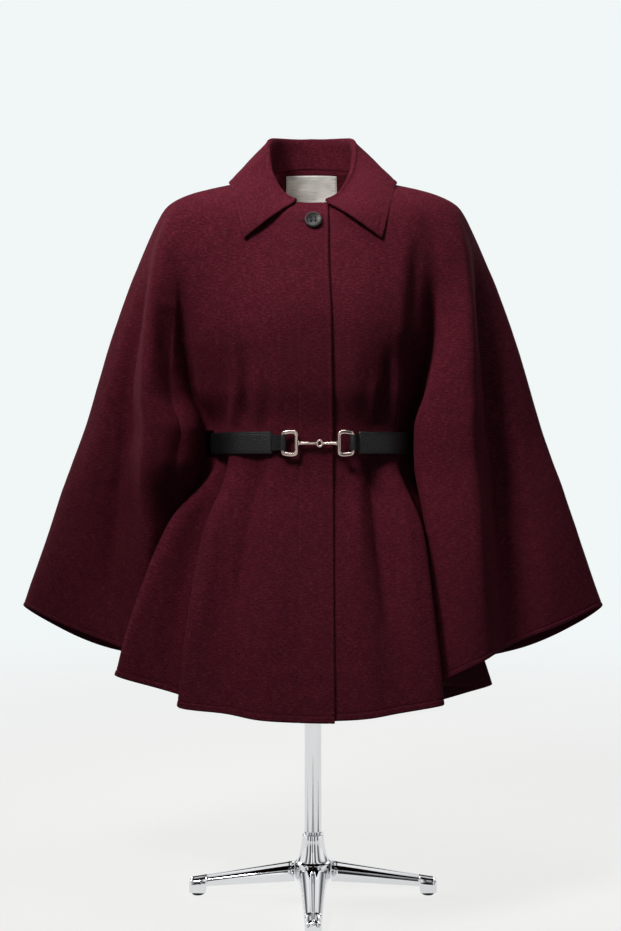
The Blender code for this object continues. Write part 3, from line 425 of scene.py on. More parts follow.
@dataclass(frozen=True)
class CastMetal:
    """Cast and polished metal on Object coordinates, with faint clouding from handling."""

    name: str
    colour: str
    rough: tuple[float, float]
    # Size of the clouding in millimetres and depth of the casting's slow waviness.
    cloud: float = 18.0
    wave: float = 0.0001

    def build(self) -> Material:
        """Make the material."""
        mat, shader = blank(self.name, Base_Color=linear(self.colour), Metallic=1.0)
        tree = mat.node_tree
        spot = add_node(tree, "ShaderNodeTexCoord").outputs["Object"]
        cloud = add_node(tree, "ShaderNodeTexNoise", {"Vector": spot, "Scale": 1000 / self.cloud,
                                                      "Detail": 4.0})
        rough = add_node(tree, "ShaderNodeMapRange", {0: cloud, 1: 0.3, 2: 0.7, 3: self.rough[0],
                                                      4: self.rough[1]})
        bump = add_node(tree, "ShaderNodeBump", {"Height": cloud, "Strength": 0.25,
                                                 "Distance": self.wave})
        wire(tree, shader, Roughness=rough, Normal=bump)
        return mat


@dataclass(frozen=True)
class Grained:
    """Other moulded or covered surfaces: two tones in a drawn-out grain, with a fine bump."""

    name: str
    tones: tuple[str, str]
    rough: float
    # Grain length, width and width in millimetres along X, Y and Z.
    grain: tuple[float, float, float]
    relief: float = 0.0002

    def build(self) -> Material:
        """Make the material on Object coordinates."""
        mat, shader = blank(self.name, Roughness=self.rough, Specular_IOR_Level=0.35)
        tree = mat.node_tree
        spot = add_node(tree, "ShaderNodeTexCoord").outputs["Object"]
        lay = add_node(tree, "ShaderNodeMapping", {"Vector": spot,
                                                   "Scale": tuple(1000 / g for g in self.grain)})
        grain = add_node(tree, "ShaderNodeTexNoise", {"Vector": lay, "Scale": 1.0, "Detail": 5.0})
        share = add_node(tree, "ShaderNodeMapRange", {0: grain, 1: 0.3, 2: 0.7})
        tone = add_node(tree, "ShaderNodeMix", {0: share, 6: linear(self.tones[0]),
                                                7: linear(self.tones[1])}, data_type="RGBA")
        bump = add_node(tree, "ShaderNodeBump", {"Height": grain, "Strength": 0.4,
                                                 "Distance": self.relief})
        wire(tree, shader, Base_Color=tone, Normal=bump)
        return mat


# Cow horn, turned and polished: near black with a brown streak. Cotton jersey: pale, close knit.
# Rubber: moulded, dull. Zinc alloy with a pale gold plate, and chrome plate on steel: both polished.
HORN = Grained("polished_horn", ("#070506", "#171110"), 0.42, (9.0, 3.0, 5.0), 0.00005)
JERSEY = Grained("cotton_jersey_cover", ("#B9B2A6", "#D2CCC1"), 0.9, (1.4, 1.4, 1.0), 0.0003)
RUBBER = Grained("moulded_rubber", ("#0C0C0C", "#1C1C1C"), 0.7, (2.0, 2.0, 2.0))
NICKEL = CastMetal("polished_pale_gold_zinc", "#C9B6AE", (0.1, 0.24), 6.0, 0.00008)
CHROME = CastMetal("chrome_plated_steel", "#E4E6E8", (0.03, 0.09), 40.0, 0.0002)


def steady(knots: Sequence[float], values: np.ndarray, at: np.ndarray) -> np.ndarray:
    """Curves through the values that never swing past them.

    Args:
        knots: Places of the values, rising.
        values: One row for each knot.
        at: Places wanted.
    Returns:
        One row for each place wanted.
    """
    xs, ys = np.asarray(knots, float), np.asarray(values, float)
    flat = ys.reshape(len(xs), -1)
    step = np.diff(xs)[:, None]
    slope = np.diff(flat, axis=0) / step
    lean = np.zeros_like(flat)
    lean[0], lean[-1] = slope[0], slope[-1]
    w1, w2 = 2 * step[1:] + step[:-1], step[1:] + 2 * step[:-1]
    same = slope[:-1] * slope[1:] > 0
    before, after = np.where(same, slope[:-1], 1.0), np.where(same, slope[1:], 1.0)
    lean[1:-1] = np.where(same, (w1 + w2) / (w1 / before + w2 / after), 0.0)
    at = np.atleast_1d(np.asarray(at, float))
    k = np.clip(np.searchsorted(xs, at) - 1, 0, len(xs) - 2)
    h = step[k]
    t = (at - xs[k])[:, None] / h
    out = ((2 * t**3 - 3 * t**2 + 1) * flat[k] + (t**3 - 2 * t**2 + t) * h * lean[k]
           + (-2 * t**3 + 3 * t**2) * flat[k + 1] + (t**3 - t**2) * h * lean[k + 1])
    return out.reshape(len(at), *ys.shape[1:])


def round_curve(points: np.ndarray, places: np.ndarray) -> np.ndarray:
    """Smooth curves through points, read at fractional places along the second axis.

    Args:
        points: Rows x (count + 2) x 3, with one guide point at each end.
        places: Where to read, 0 at the first real point.
    Returns:
        Rows x places x 3.
    """
    k = np.clip(np.floor(places).astype(int), 0, points.shape[1] - 4)
    t = (np.asarray(places) - k)[None, :, None]
    p0, p1, p2, p3 = (points[:, k + n] for n in range(4))

    def gap(a: np.ndarray, b: np.ndarray) -> np.ndarray:
        """Knot step between two points."""
        return np.sqrt(np.maximum(np.linalg.norm(b - a, axis=2, keepdims=True), 1e-6))

    b = gap(p0, p1)
    c = b + gap(p1, p2)
    d = c + gap(p2, p3)
    at = b + (c - b) * t
    a1 = (b - at) / b * p0 + at / b * p1
    a2 = (c - at) / (c - b) * p1 + (at - b) / (c - b) * p2
    a3 = (d - at) / (d - c) * p2 + (at - c) / (d - c) * p3
    b1 = (c - at) / c * a1 + at / c * a2
    b2 = (d - at) / (d - b) * a2 + (at - b) / (d - b) * a3
    return (c - at) / (c - b) * b1 + (at - b) / (c - b) * b2


def neck_place(angle: float) -> Point:
    """Point of the neck seam at an angle from the centre front."""
    turn = math.radians(angle)
    out = NECK["side"] * math.sin(turn)
    if abs(angle) <= 90:
        rise = (NECK["z_side"] - NECK["z_front"]) * (1 - math.cos(turn)) ** 1.1
        return np.array((out, -NECK["front"] * math.cos(turn), NECK["z_front"] + rise))
    rise = (NECK["z_back"] - NECK["z_side"]) * -math.cos(turn)
    return np.array((out, -NECK["back"] * math.cos(turn), NECK["z_side"] + rise))


def ring_place(out: float, ring: dict[str, float], back: bool) -> tuple[float, float]:
    """Depth and height on the yoke or shoulder ring at a distance out."""
    share = min(abs(out) / ring["side"], 1.0)
    depth = (1 - share ** ring["power"]) ** (1 / ring["power"])
    middle = ring["z_back"] if back else ring["z_front"]
    return (ring["back"] if back else -ring["front"]) * depth, middle + (ring["z_side"] - middle) * share**2.1


def unit(v: np.ndarray) -> np.ndarray:
    """Directions of length 1."""
    return v / np.maximum(np.linalg.norm(v, axis=-1, keepdims=True), 1e-9)


def put(name: str, data: Any) -> Object:
    """A new object in the scene with the given data."""
    obj = bpy.data.objects.new(name, data)
    bpy.context.scene.collection.objects.link(obj)
    return obj


def make_mesh(name: str, points: np.ndarray, faces: Sequence[Sequence[int]], finish: Material,
              uv: np.ndarray | None = None) -> Object:
    """Make a smooth object at the origin from points in millimetres.

    Args:
        name: Object name.
        points: Corners.
        faces: Corner numbers of each face.
        finish: Material.
        uv: One place on the flat cloth for each corner, in metres.
    Returns:
        The object, linked to the scene and riding on the part.
    """
    mesh = bpy.data.meshes.new(name)
    mesh.from_pydata((np.asarray(points) * MM).tolist(), [], [tuple(f) for f in faces])
    mesh.materials.append(finish)
    mesh.shade_smooth()
    if uv is not None:
        layer = mesh.uv_layers.new(name="cloth")
        corner = np.empty(len(mesh.loops), int)
        mesh.loops.foreach_get("vertex_index", corner)
        layer.data.foreach_set("uv", np.asarray(uv, np.float32)[corner].ravel())
    obj = put(name, mesh)
    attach(obj, "root")
    return obj


def run_length(pts: np.ndarray) -> np.ndarray:
    """Distance run along the first axis, from zero."""
    steps = np.linalg.norm(np.diff(pts, axis=0), axis=-1)
    return np.concatenate((np.zeros((1, *steps.shape[1:])), np.cumsum(steps, 0)), 0)


def flat_places(pts: np.ndarray, downs: np.ndarray | None = None) -> np.ndarray:
    """Where each grid point lies on the flat cloth: along the row and down, in millimetres."""
    along = run_length(pts.transpose(1, 0, 2)).T
    down = run_length(pts) if downs is None else np.repeat(np.asarray(downs)[:, None], pts.shape[1], 1)
    return np.stack((along, down), axis=2)


def facing(pts: np.ndarray, flip: int) -> np.ndarray:
    """Outward directions of a grid of points."""
    return unit(np.cross(np.gradient(pts, axis=1), np.gradient(pts, axis=0)) * flip)


def cloth_shell(name: str, pts: np.ndarray, out: np.ndarray, outer: np.ndarray | float, inner: float,
                flip: int, finish: Material, flat: np.ndarray,
                holes: Sequence[tuple[int, int]] = ()) -> Object:
    """A thin sheet with two faces and softly rounded free edges.

    Args:
        name: Object name.
        pts: Grid of middle points.
        out: Outward direction at each.
        outer: How far the outer face lies from the middle, one value or one for each point.
        inner: How far the inner face lies from the middle.
        flip: 1 where columns run so that faces already point out, else -1.
        finish: Material.
        flat: Places on the flat cloth in millimetres.
        holes: Cells left open.
    Returns:
        The object.
    """
    rows, cols = pts.shape[:2]
    layer = rows * cols
    middle, away = pts.reshape(-1, 3), out.reshape(-1, 3)
    lift = np.broadcast_to(np.asarray(outer, float), (rows, cols)).reshape(-1, 1)
    shut = set(holes)
    faces: Faces = []
    free: dict[tuple[int, int], bool] = {}
    for i in range(rows - 1):
        for j in range(cols - 1):
            if (i, j) in shut:
                continue
            a = i * cols + j
            loop = (a, a + 1, a + cols + 1, a + cols)
            loop = loop if flip > 0 else loop[::-1]
            faces += [loop, tuple(layer + v for v in reversed(loop))]
            for p, q in zip(loop, loop[1:] + loop[:1]):
                if free.pop((q, p), None) is None:
                    free[(p, q)] = True
    push = np.zeros((layer, 3))
    for p, q in free:
        side = unit(np.cross(middle[q] - middle[p], away[p] + away[q]))
        push[p] += side
        push[q] += side
    rim = sorted({v for e in free for v in e})
    number = {v: 2 * layer + k for k, v in enumerate(rim)}
    thick = (lift[rim] + inner) / 2
    edge_points = middle[rim] + away[rim] * (lift[rim] - inner) / 2 + unit(push[rim]) * thick * 0.75
    for p, q in free:
        faces += [(q, p, number[p], number[q]), (number[q], number[p], layer + p, layer + q)]
    points = np.vstack((middle + away * lift, middle - away * inner, edge_points))
    uv = flat.reshape(-1, 2) * MM
    return make_mesh(name, points, faces, finish, np.vstack((uv, uv, uv[rim])))


def circle(radius: float, corners: int) -> list[tuple[float, float]]:
    """Corners of a round section."""
    return [(radius * math.cos(a), radius * math.sin(a)) for a in np.arange(corners) * 2 * math.pi / corners]


def ring_faces(rings: int, around: int, closed: bool = False) -> Faces:
    """Faces between rings of points, then an end cap each unless the last ring meets the first."""
    faces = []
    for i in range(rings if closed else rings - 1):
        here, there = i * around, (i + 1) % rings * around
        faces += [(here + k, here + (k + 1) % around, there + (k + 1) % around, there + k)
                  for k in range(around)]
    if not closed:
        faces += [tuple(reversed(range(around))), tuple(range((rings - 1) * around, rings * around))]
    return faces


def lathe(profile: Path, around: int, centre: Sequence[float] = (0, 0, 0),
          axis: int = 2) -> Solid:
    """A closed turned solid.

    Args:
        profile: (along, radius) from one end to the other, rising along the axis.
        around: Points in each ring.
        centre: Place of the axis.
        axis: 0 for X, 2 for Z.
    Returns:
        Points and faces that point out.
    """
    turn = np.arange(around) * 2 * math.pi / around
    rings = []
    for along, radius in profile:
        u, v, w = radius * np.cos(turn), radius * np.sin(turn), np.full(around, along)
        rings.append(np.stack((u, v, w) if axis == 2 else (w, u, v), 1) + np.asarray(centre))
    return np.vstack(rings), ring_faces(len(rings), around)


def smooth_path(path: Path, steps: int, closed: bool = False) -> np.ndarray:
    """A smooth curve through a few points, steps to each stretch."""
    p = np.asarray(path, float)
    guide = (np.vstack((p[-1:], p, p[:2])) if closed
             else np.vstack((2 * p[0] - p[1], p, 2 * p[-1] - p[-2])))
    count = len(p) if closed else len(p) - 1
    places = np.arange(count * steps + (0 if closed else 1)) / steps
    return round_curve(guide[None], places)[0]


def tube(path: np.ndarray, front: np.ndarray, section: Path, closed: bool = True,
         swell: np.ndarray | None = None) -> Solid:
    """A section carried along a flat path.

    Args:
        path: Middle points.
        front: Direction square to the path's plane.
        section: (across, front) corners of the section, turning one way.
        closed: Whether the path meets itself.
        swell: Size of the section at each point.
    Returns:
        Points and faces.
    """
    go = unit(np.roll(path, -1, 0) - np.roll(path, 1, 0) if closed else np.gradient(path, axis=0))
    across = unit(np.cross(go, front))
    size = np.ones(len(path)) if swell is None else swell
    u, v = np.array(section).T
    points = np.vstack([p + s * (np.outer(u, a) + np.outer(v, front)) for p, a, s in zip(path, across, size)])
    return points, ring_faces(len(path), len(section), closed)


def make_solid(name: str, points: np.ndarray, faces: Faces, finish: Material,
               uv: np.ndarray | None = None) -> Object:
    """Make a closed object as make_mesh does, with every face turned outward."""
    obj = make_mesh(name, points, faces, finish, uv)
    made = bmesh.new()
    made.from_mesh(obj.data)
    bmesh.ops.recalc_face_normals(made, faces=made.faces)
    made.to_mesh(obj.data)
    made.free()
    return obj


def soften(obj: Object, width: float, segments: int) -> None:
    """Round the sharp edges of a solid; the width is in metres."""
    worn = obj.modifiers.new("worn_edge", "BEVEL")
    worn.width, worn.segments = width, segments
    worn.limit_method, worn.angle_limit = "ANGLE", math.radians(50)


def stand_for(obj: Object, *nodes: str) -> None:
    """Hide the CAD nodes that a piece replaces."""
    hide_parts(*nodes)


def settle(obj: Object) -> Object:
    """Turn an object's modifiers into plain mesh."""
    bpy.context.view_layer.update()
    graph = bpy.context.evaluated_depsgraph_get()
    mesh = bpy.data.meshes.new_from_object(obj.evaluated_get(graph))
    obj.modifiers.clear()
    obj.data = mesh
    return obj


@dataclass
class Stitching:
    """Rows of lockstitch laid along paths by a node tree."""

    finish: Material
    pitch: float = 3.4
    length: float = 2.6
    radius: float = 0.24
    tree: Tree | None = None

    def build_tree(self) -> Tree:
        """Tree that sets one small thread body at each stitch, turned along the row."""
        tree = bpy.data.node_groups.new("lockstitch_row", "GeometryNodeTree")
        tree.interface.new_socket("Geometry", in_out="INPUT", socket_type="NodeSocketGeometry")
        for label in ("Pitch", "Length", "Radius"):
            tree.interface.new_socket(label, in_out="INPUT", socket_type="NodeSocketFloat")
        tree.interface.new_socket("Thread", in_out="INPUT", socket_type="NodeSocketMaterial")
        tree.interface.new_socket("Geometry", in_out="OUTPUT", socket_type="NodeSocketGeometry")
        given = add_node(tree, "NodeGroupInput").outputs
        row = add_node(tree, "GeometryNodeMeshToCurve", {0: given[0]})
        spaced = add_node(tree, "GeometryNodeResampleCurve", {"Curve": row, "Length": given["Pitch"]},
                          mode="LENGTH")
        body = add_node(tree, "GeometryNodeMeshUVSphere", {"Segments": 6, "Rings": 4, "Radius": 1.0})
        half = add_node(tree, "ShaderNodeMath", {0: given["Length"], 1: 0.5}, operation="MULTIPLY")
        size = add_node(tree, "ShaderNodeCombineXYZ", {0: given["Radius"], 1: given["Radius"], 2: half})
        vary = add_node(tree, "FunctionNodeRandomValue", {2: 0.9, 3: 1.1, "Seed": 4})
        uneven = add_node(tree, "ShaderNodeVectorMath", {0: size, "Scale": vary},
                          operation="SCALE")
        tangent = add_node(tree, "GeometryNodeInputTangent")
        turn = add_node(tree, "FunctionNodeAlignRotationToVector", {"Vector": tangent}, axis="Z")
        laid = add_node(tree, "GeometryNodeInstanceOnPoints",
                        {"Points": spaced, "Instance": body, "Rotation": turn,
                         "Scale": uneven})
        real = add_node(tree, "GeometryNodeRealizeInstances", {0: laid})
        dyed = add_node(tree, "GeometryNodeSetMaterial", {"Geometry": real,
                                                          "Material": given["Thread"]})
        add_node(tree, "NodeGroupOutput", {0: dyed})
        return tree

    def sew(self, name: str, paths: Sequence[np.ndarray]) -> Object:
        """Lay stitches along paths.

        Args:
            name: Object name.
            paths: Runs of points in millimetres, on the cloth's surface.
        Returns:
            The stitches as one mesh.
        """
        points, edges = [], []
        for path in paths:
            start = len(points)
            points += (np.asarray(path) * MM).tolist()
            edges += [(start + k, start + k + 1) for k in range(len(path) - 1)]
        mesh = bpy.data.meshes.new(name)
        mesh.from_pydata(points, edges, [])
        obj = put(name, mesh)
        self.tree = self.tree or self.build_tree()
        step = obj.modifiers.new("stitches", "NODES")
        step.node_group = self.tree
        wanted = {"Pitch": self.pitch * MM, "Length": self.length * MM, "Radius": self.radius * MM,
                  "Thread": self.finish}
        for socket in self.tree.interface.items_tree:
            if socket.in_out == "INPUT" and socket.name in wanted:
                step[socket.identifier] = wanted[socket.name]
        settle(obj)
        obj.data.shade_smooth()
        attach(obj, "root")
        return obj


@dataclass
class ClothRun:
    """Fold lines of one cut piece and the smooth cloth through them."""

    lines: np.ndarray
    columns: Sequence[int]
    flip: int
    before: np.ndarray | None = None
    after: np.ndarray | None = None

    def grid(self, places: Sequence[float], downs: Sequence[float]) -> np.ndarray:
        """Middle of the cloth at fold line numbers and distances down."""
        rows = steady(DOWN, self.lines.transpose(1, 0, 2), np.asarray(downs, float))
        start, end = 2 * rows[:, 0] - rows[:, 1], 2 * rows[:, -1] - rows[:, -2]
        if self.before is not None:
            start = steady(DOWN, self.before, np.asarray(downs))
        if self.after is not None:
            end = steady(DOWN, self.after, np.asarray(downs))
        return round_curve(np.concatenate((start[:, None], rows, end[:, None]), 1), np.asarray(places, float))

    def places(self) -> np.ndarray:
        """Fold line numbers of the columns."""
        inner = [k + n / c for k, c in enumerate(self.columns) for n in range(c)]
        return np.array(inner + [len(self.columns)])

    def spot(self, place: float, down: float) -> tuple[Point, Point]:
        """One point of the cloth and its outward direction."""
        top = len(self.lines) - 1
        u = [max(place - 0.03, 0), place, min(place + 0.03, top)]
        v = [max(down - 1.5, 0), down, min(down + 1.5, DOWN[-1])]
        p = self.grid(u, v)
        return p[1, 1], unit(np.cross(p[1, 2] - p[1, 0], p[2, 1] - p[0, 1]) * self.flip)


def front_lines(table: Sequence[Sequence[Any]], side: Side) -> np.ndarray:
    """Points of each fold line of one front at all levels."""
    names = ("name", "columns", "angle", "shoulder", "chest", "bust", "under", "belt", "hip", "skirt", "hem",
             "hem_z", "swing")
    lines = []
    for values in table:
        row = dict(zip(names, values))
        neck = neck_place(row["angle"])
        yoke_out = neck[0] + YOKE_SHARE * (row["shoulder"] - neck[0])
        points = [tuple(neck), (yoke_out, *ring_place(yoke_out, YOKE, False)),
                  (row["shoulder"], *ring_place(row["shoulder"], SHOULDER, False))]
        for level in LEVELS[3:]:
            out, forward = row["belt" if level.startswith("belt") else level]
            if level in LEVEL_Z:
                z = LEVEL_Z[level]
                out += row["swing"] * SWING * {"belt_top": -1, "belt_low": 1}.get(level, 0)
            else:
                z = row["hem_z"] + HEM_SHARE[level] * (LEVEL_Z["belt_low"] - row["hem_z"])
            points.append((out, -forward, z))
        lines.append([(side.value * o, y, z) for o, y, z in points])
    return np.array(lines)


def back_lines(overarm: np.ndarray) -> np.ndarray:
    """Points of each fold line of the back at all levels.

    Args:
        overarm: The left front's overarm line.
    Returns:
        Fold lines x levels x 3.
    """
    over = dict(zip(LEVELS, overarm))
    lines = []
    for _, _, turn, stand_out, hem_z in BACK_FOLDS:
        angle = math.radians(turn)
        side = -math.copysign(1, math.cos(angle))
        neck = neck_place(90 + min(turn, 180 - turn))
        points = [(abs(neck[0]) * side, neck[1], neck[2])]
        for ring in (YOKE, SHOULDER):
            out = ring["side"] * abs(math.cos(angle)) ** (2 / ring["power"])
            points.append((out * side, *ring_place(out, ring, True)))
        for level in LEVELS[3:]:
            wide, deep = over[level][0], BACK_DEPTH[level]
            out = wide * abs(math.cos(angle)) ** (2 / BACK_POWER)
            y = deep * math.sin(angle) ** (2 / BACK_POWER)
            lean = unit(np.array((out / wide**2, y / deep**2))) * stand_out * BACK_GROWTH[level]
            z = LEVEL_Z.get(level, hem_z + HEM_SHARE.get(level, 0) * (LEVEL_Z["belt_low"] - hem_z))
            points.append(((out + lean[0]) * side, y + lean[1], z))
        lines.append(points)
    return np.array(lines)


@dataclass
class Cape:
    """The two fronts and the back, each one thin sheet on its solid's form."""

    wool: Material
    stitching: Stitching
    wall: float = 2.3
    hem_wall: float = 3.1
    seam_gap: float = 0.3
    hem_stitch: float = 7.0
    edge_stitch: float = 6.0
    placket_stitch: float = 45.0
    runs: dict[str, ClothRun] = field(default_factory=dict)

    def lay_out(self) -> None:
        """Work out the fold lines of the three pieces, which share their overarm lines."""
        right, left = front_lines(RIGHT_FRONT, Side.RIGHT), front_lines(LEFT_FRONT, Side.LEFT)
        for k, share in ((0, 1.0), (1, 1.0), (2, 0.45)):
            left[k][:, 1] += LAP_STEP * share
            left[k][:, 2] -= 0.6 * share * (DOWN[-1] - np.array(DOWN)) / DOWN[-1]
        back = back_lines(left[-1])
        self.runs["front_right"] = ClothRun(right, [r[1] for r in RIGHT_FRONT[:-1]], 1, None, back[0])
        self.runs["front_left"] = ClothRun(left, [r[1] for r in LEFT_FRONT[:-1]], -1, None, back[-1])
        self.runs["back"] = ClothRun(np.concatenate((right[-1:], back, left[-1:])),
                                     [14] + [r[1] for r in BACK_FOLDS], 1, right[-2], left[-2])

    @staticmethod
    def rows() -> np.ndarray:
        """Distances down of the mesh rows, closer at the hem and at the belt slit."""
        body = np.arange(0.0, 740.0, 5.0)
        body = body[(np.abs(body - SLIT_TOP) > 2.4) & (np.abs(body - SLIT_LOW) > 2.4)]
        hem = (741.5, 743.5, 745.3, 746.5, 747.3, 748.0, 748.7, 749.5, 750.7, 752.0, 753.4, 754.4, 755.0)
        return np.sort(np.concatenate((body, (SLIT_TOP, SLIT_LOW), hem)))

    @staticmethod
    def crease(pts: np.ndarray, out: np.ndarray, flat: np.ndarray, run: ClothRun,
               creases: Sequence[Sequence[Any]]) -> np.ndarray:
        """Raise and sink the cloth along the creases, fading at their ends.

        Args:
            pts: Grid of middle points.
            out: Outward directions.
            flat: Places on the flat cloth.
            run: The piece's fold lines.
            creases: Height, half width and path of each.
        Returns:
            The moved grid.
        """
        places, downs = run.places(), Cape.rows()
        lift = np.zeros(pts.shape[:2])
        for height, wide, path in creases:
            line = smooth_path(path, 8)
            row = np.searchsorted(downs, line[:, 1]).clip(0, len(downs) - 1)
            col = np.array([np.interp(u, places, flat[r, :, 0]) for u, r in zip(line[:, 0], row)])
            way = np.stack((col, line[:, 1]), 1)
            best = np.full(pts.shape[:2], 1e9)
            share = np.zeros(pts.shape[:2])
            for n, (a, b) in enumerate(zip(way, way[1:])):
                step = b - a
                t = np.clip(((flat - a) @ step) / (step @ step), 0, 1)
                gap = np.linalg.norm(flat - (a + t[..., None] * step), axis=2)
                near = gap < best
                best = np.where(near, gap, best)
                share = np.where(near, (n + t) / (len(way) - 1), share)
            fade = np.sin(np.pi * np.clip(share, 0.02, 0.98)) ** 0.7
            lift += height * fade * np.exp(-(best / wide) ** 2)
        return pts + out * lift[..., None]

    @staticmethod
    def ripple(pts: np.ndarray, out: np.ndarray) -> np.ndarray:
        """Give the cloth the slow unevenness of hanging wool, the same on both sides of a seam."""
        flat = pts.reshape(-1, 3) * MM
        slow = np.array([noise.noise(Vector((p[0] * 14, p[1] * 14, p[2] * 7 + 3))) for p in flat])
        fine = np.array([noise.noise(Vector((p[0] * 46, p[1] * 46, p[2] * 30 + 9))) for p in flat])
        return pts + out * (slow * 1.5 + fine * 0.35).reshape(pts.shape[:2])[..., None]

    def build_piece(self, name: str, creases: Sequence[Sequence[Any]]) -> Object:
        """Make one piece of cloth with its hems, creases and stitch grooves.

        Args:
            name: The piece's CAD node.
            creases: Table of creases.
        Returns:
            The cloth.
        """
        run = self.runs[name]
        places, downs = run.places(), self.rows()
        pts = run.grid(places, downs)
        out = facing(pts, run.flip)
        flat = flat_places(pts, downs)
        pts = self.crease(pts, out, flat, run, creases)
        pts = self.ripple(pts, out)
        seams = (0, -1) if name == "back" else (-1,)
        out = facing(pts, run.flip)
        for column in seams:
            pts[:, column, 1] += (1 if name == "back" else -1) * self.seam_gap / 2
            out[:, column, 1] = 0.0
            out[:, column] = unit(out[:, column])
        from_hem = DOWN[-1] - flat[..., 1]
        fold = 1 / (1 + np.exp(np.minimum((from_hem - self.hem_stitch - 1.0) / 0.7, 40)))
        groove = np.exp(-((from_hem - self.hem_stitch) / 1.1) ** 2)
        lines: list[float] = []
        holes = []
        if name != "back":
            u = flat[..., 0]
            fold = np.maximum(fold, 1 / (1 + np.exp(np.minimum((u - self.edge_stitch - 1.0) / 0.8, 40))))
            lines = [self.edge_stitch] + ([self.placket_stitch] if name == "front_right" else [])
            for line in lines:
                groove = np.maximum(groove, np.exp(-((u - line) / 1.3) ** 2))
            top, low = np.argmin(np.abs(downs - SLIT_TOP)), np.argmin(np.abs(downs - SLIT_LOW))
            holes = [(i, j) for i in range(top, low) for j, place in enumerate(places[:-1])
                     if SLIT_LINES[0] <= place < SLIT_LINES[1]]
        outer = self.wall / 2 + (self.hem_wall - self.wall) * fold * 0.5 - 0.85 * groove
        obj = cloth_shell("cloth_" + name, pts, out, outer, self.wall / 2, run.flip, self.wool, flat, holes)
        skin = pts + out * (outer[..., None] + THREAD_LIFT)
        hem_row = int(np.argmin(np.abs(downs - (DOWN[-1] - self.hem_stitch))))
        sewn = [skin[hem_row, 2:-2]]
        for line in lines:
            sewn.append(np.array([[np.interp(line, flat[i, :, 0], skin[i, :, k]) for k in range(3)]
                                  for i in range(1, hem_row)]))
        thread = self.stitching.sew("stitches_" + name, sewn)
        stand_for(obj, name)
        return obj

    def build(self) -> None:
        """Make the three pieces."""
        self.lay_out()
        self.build_piece("front_right", RIGHT_CREASES)
        self.build_piece("front_left", LEFT_CREASES)
        self.build_piece("back", BACK_CREASES)


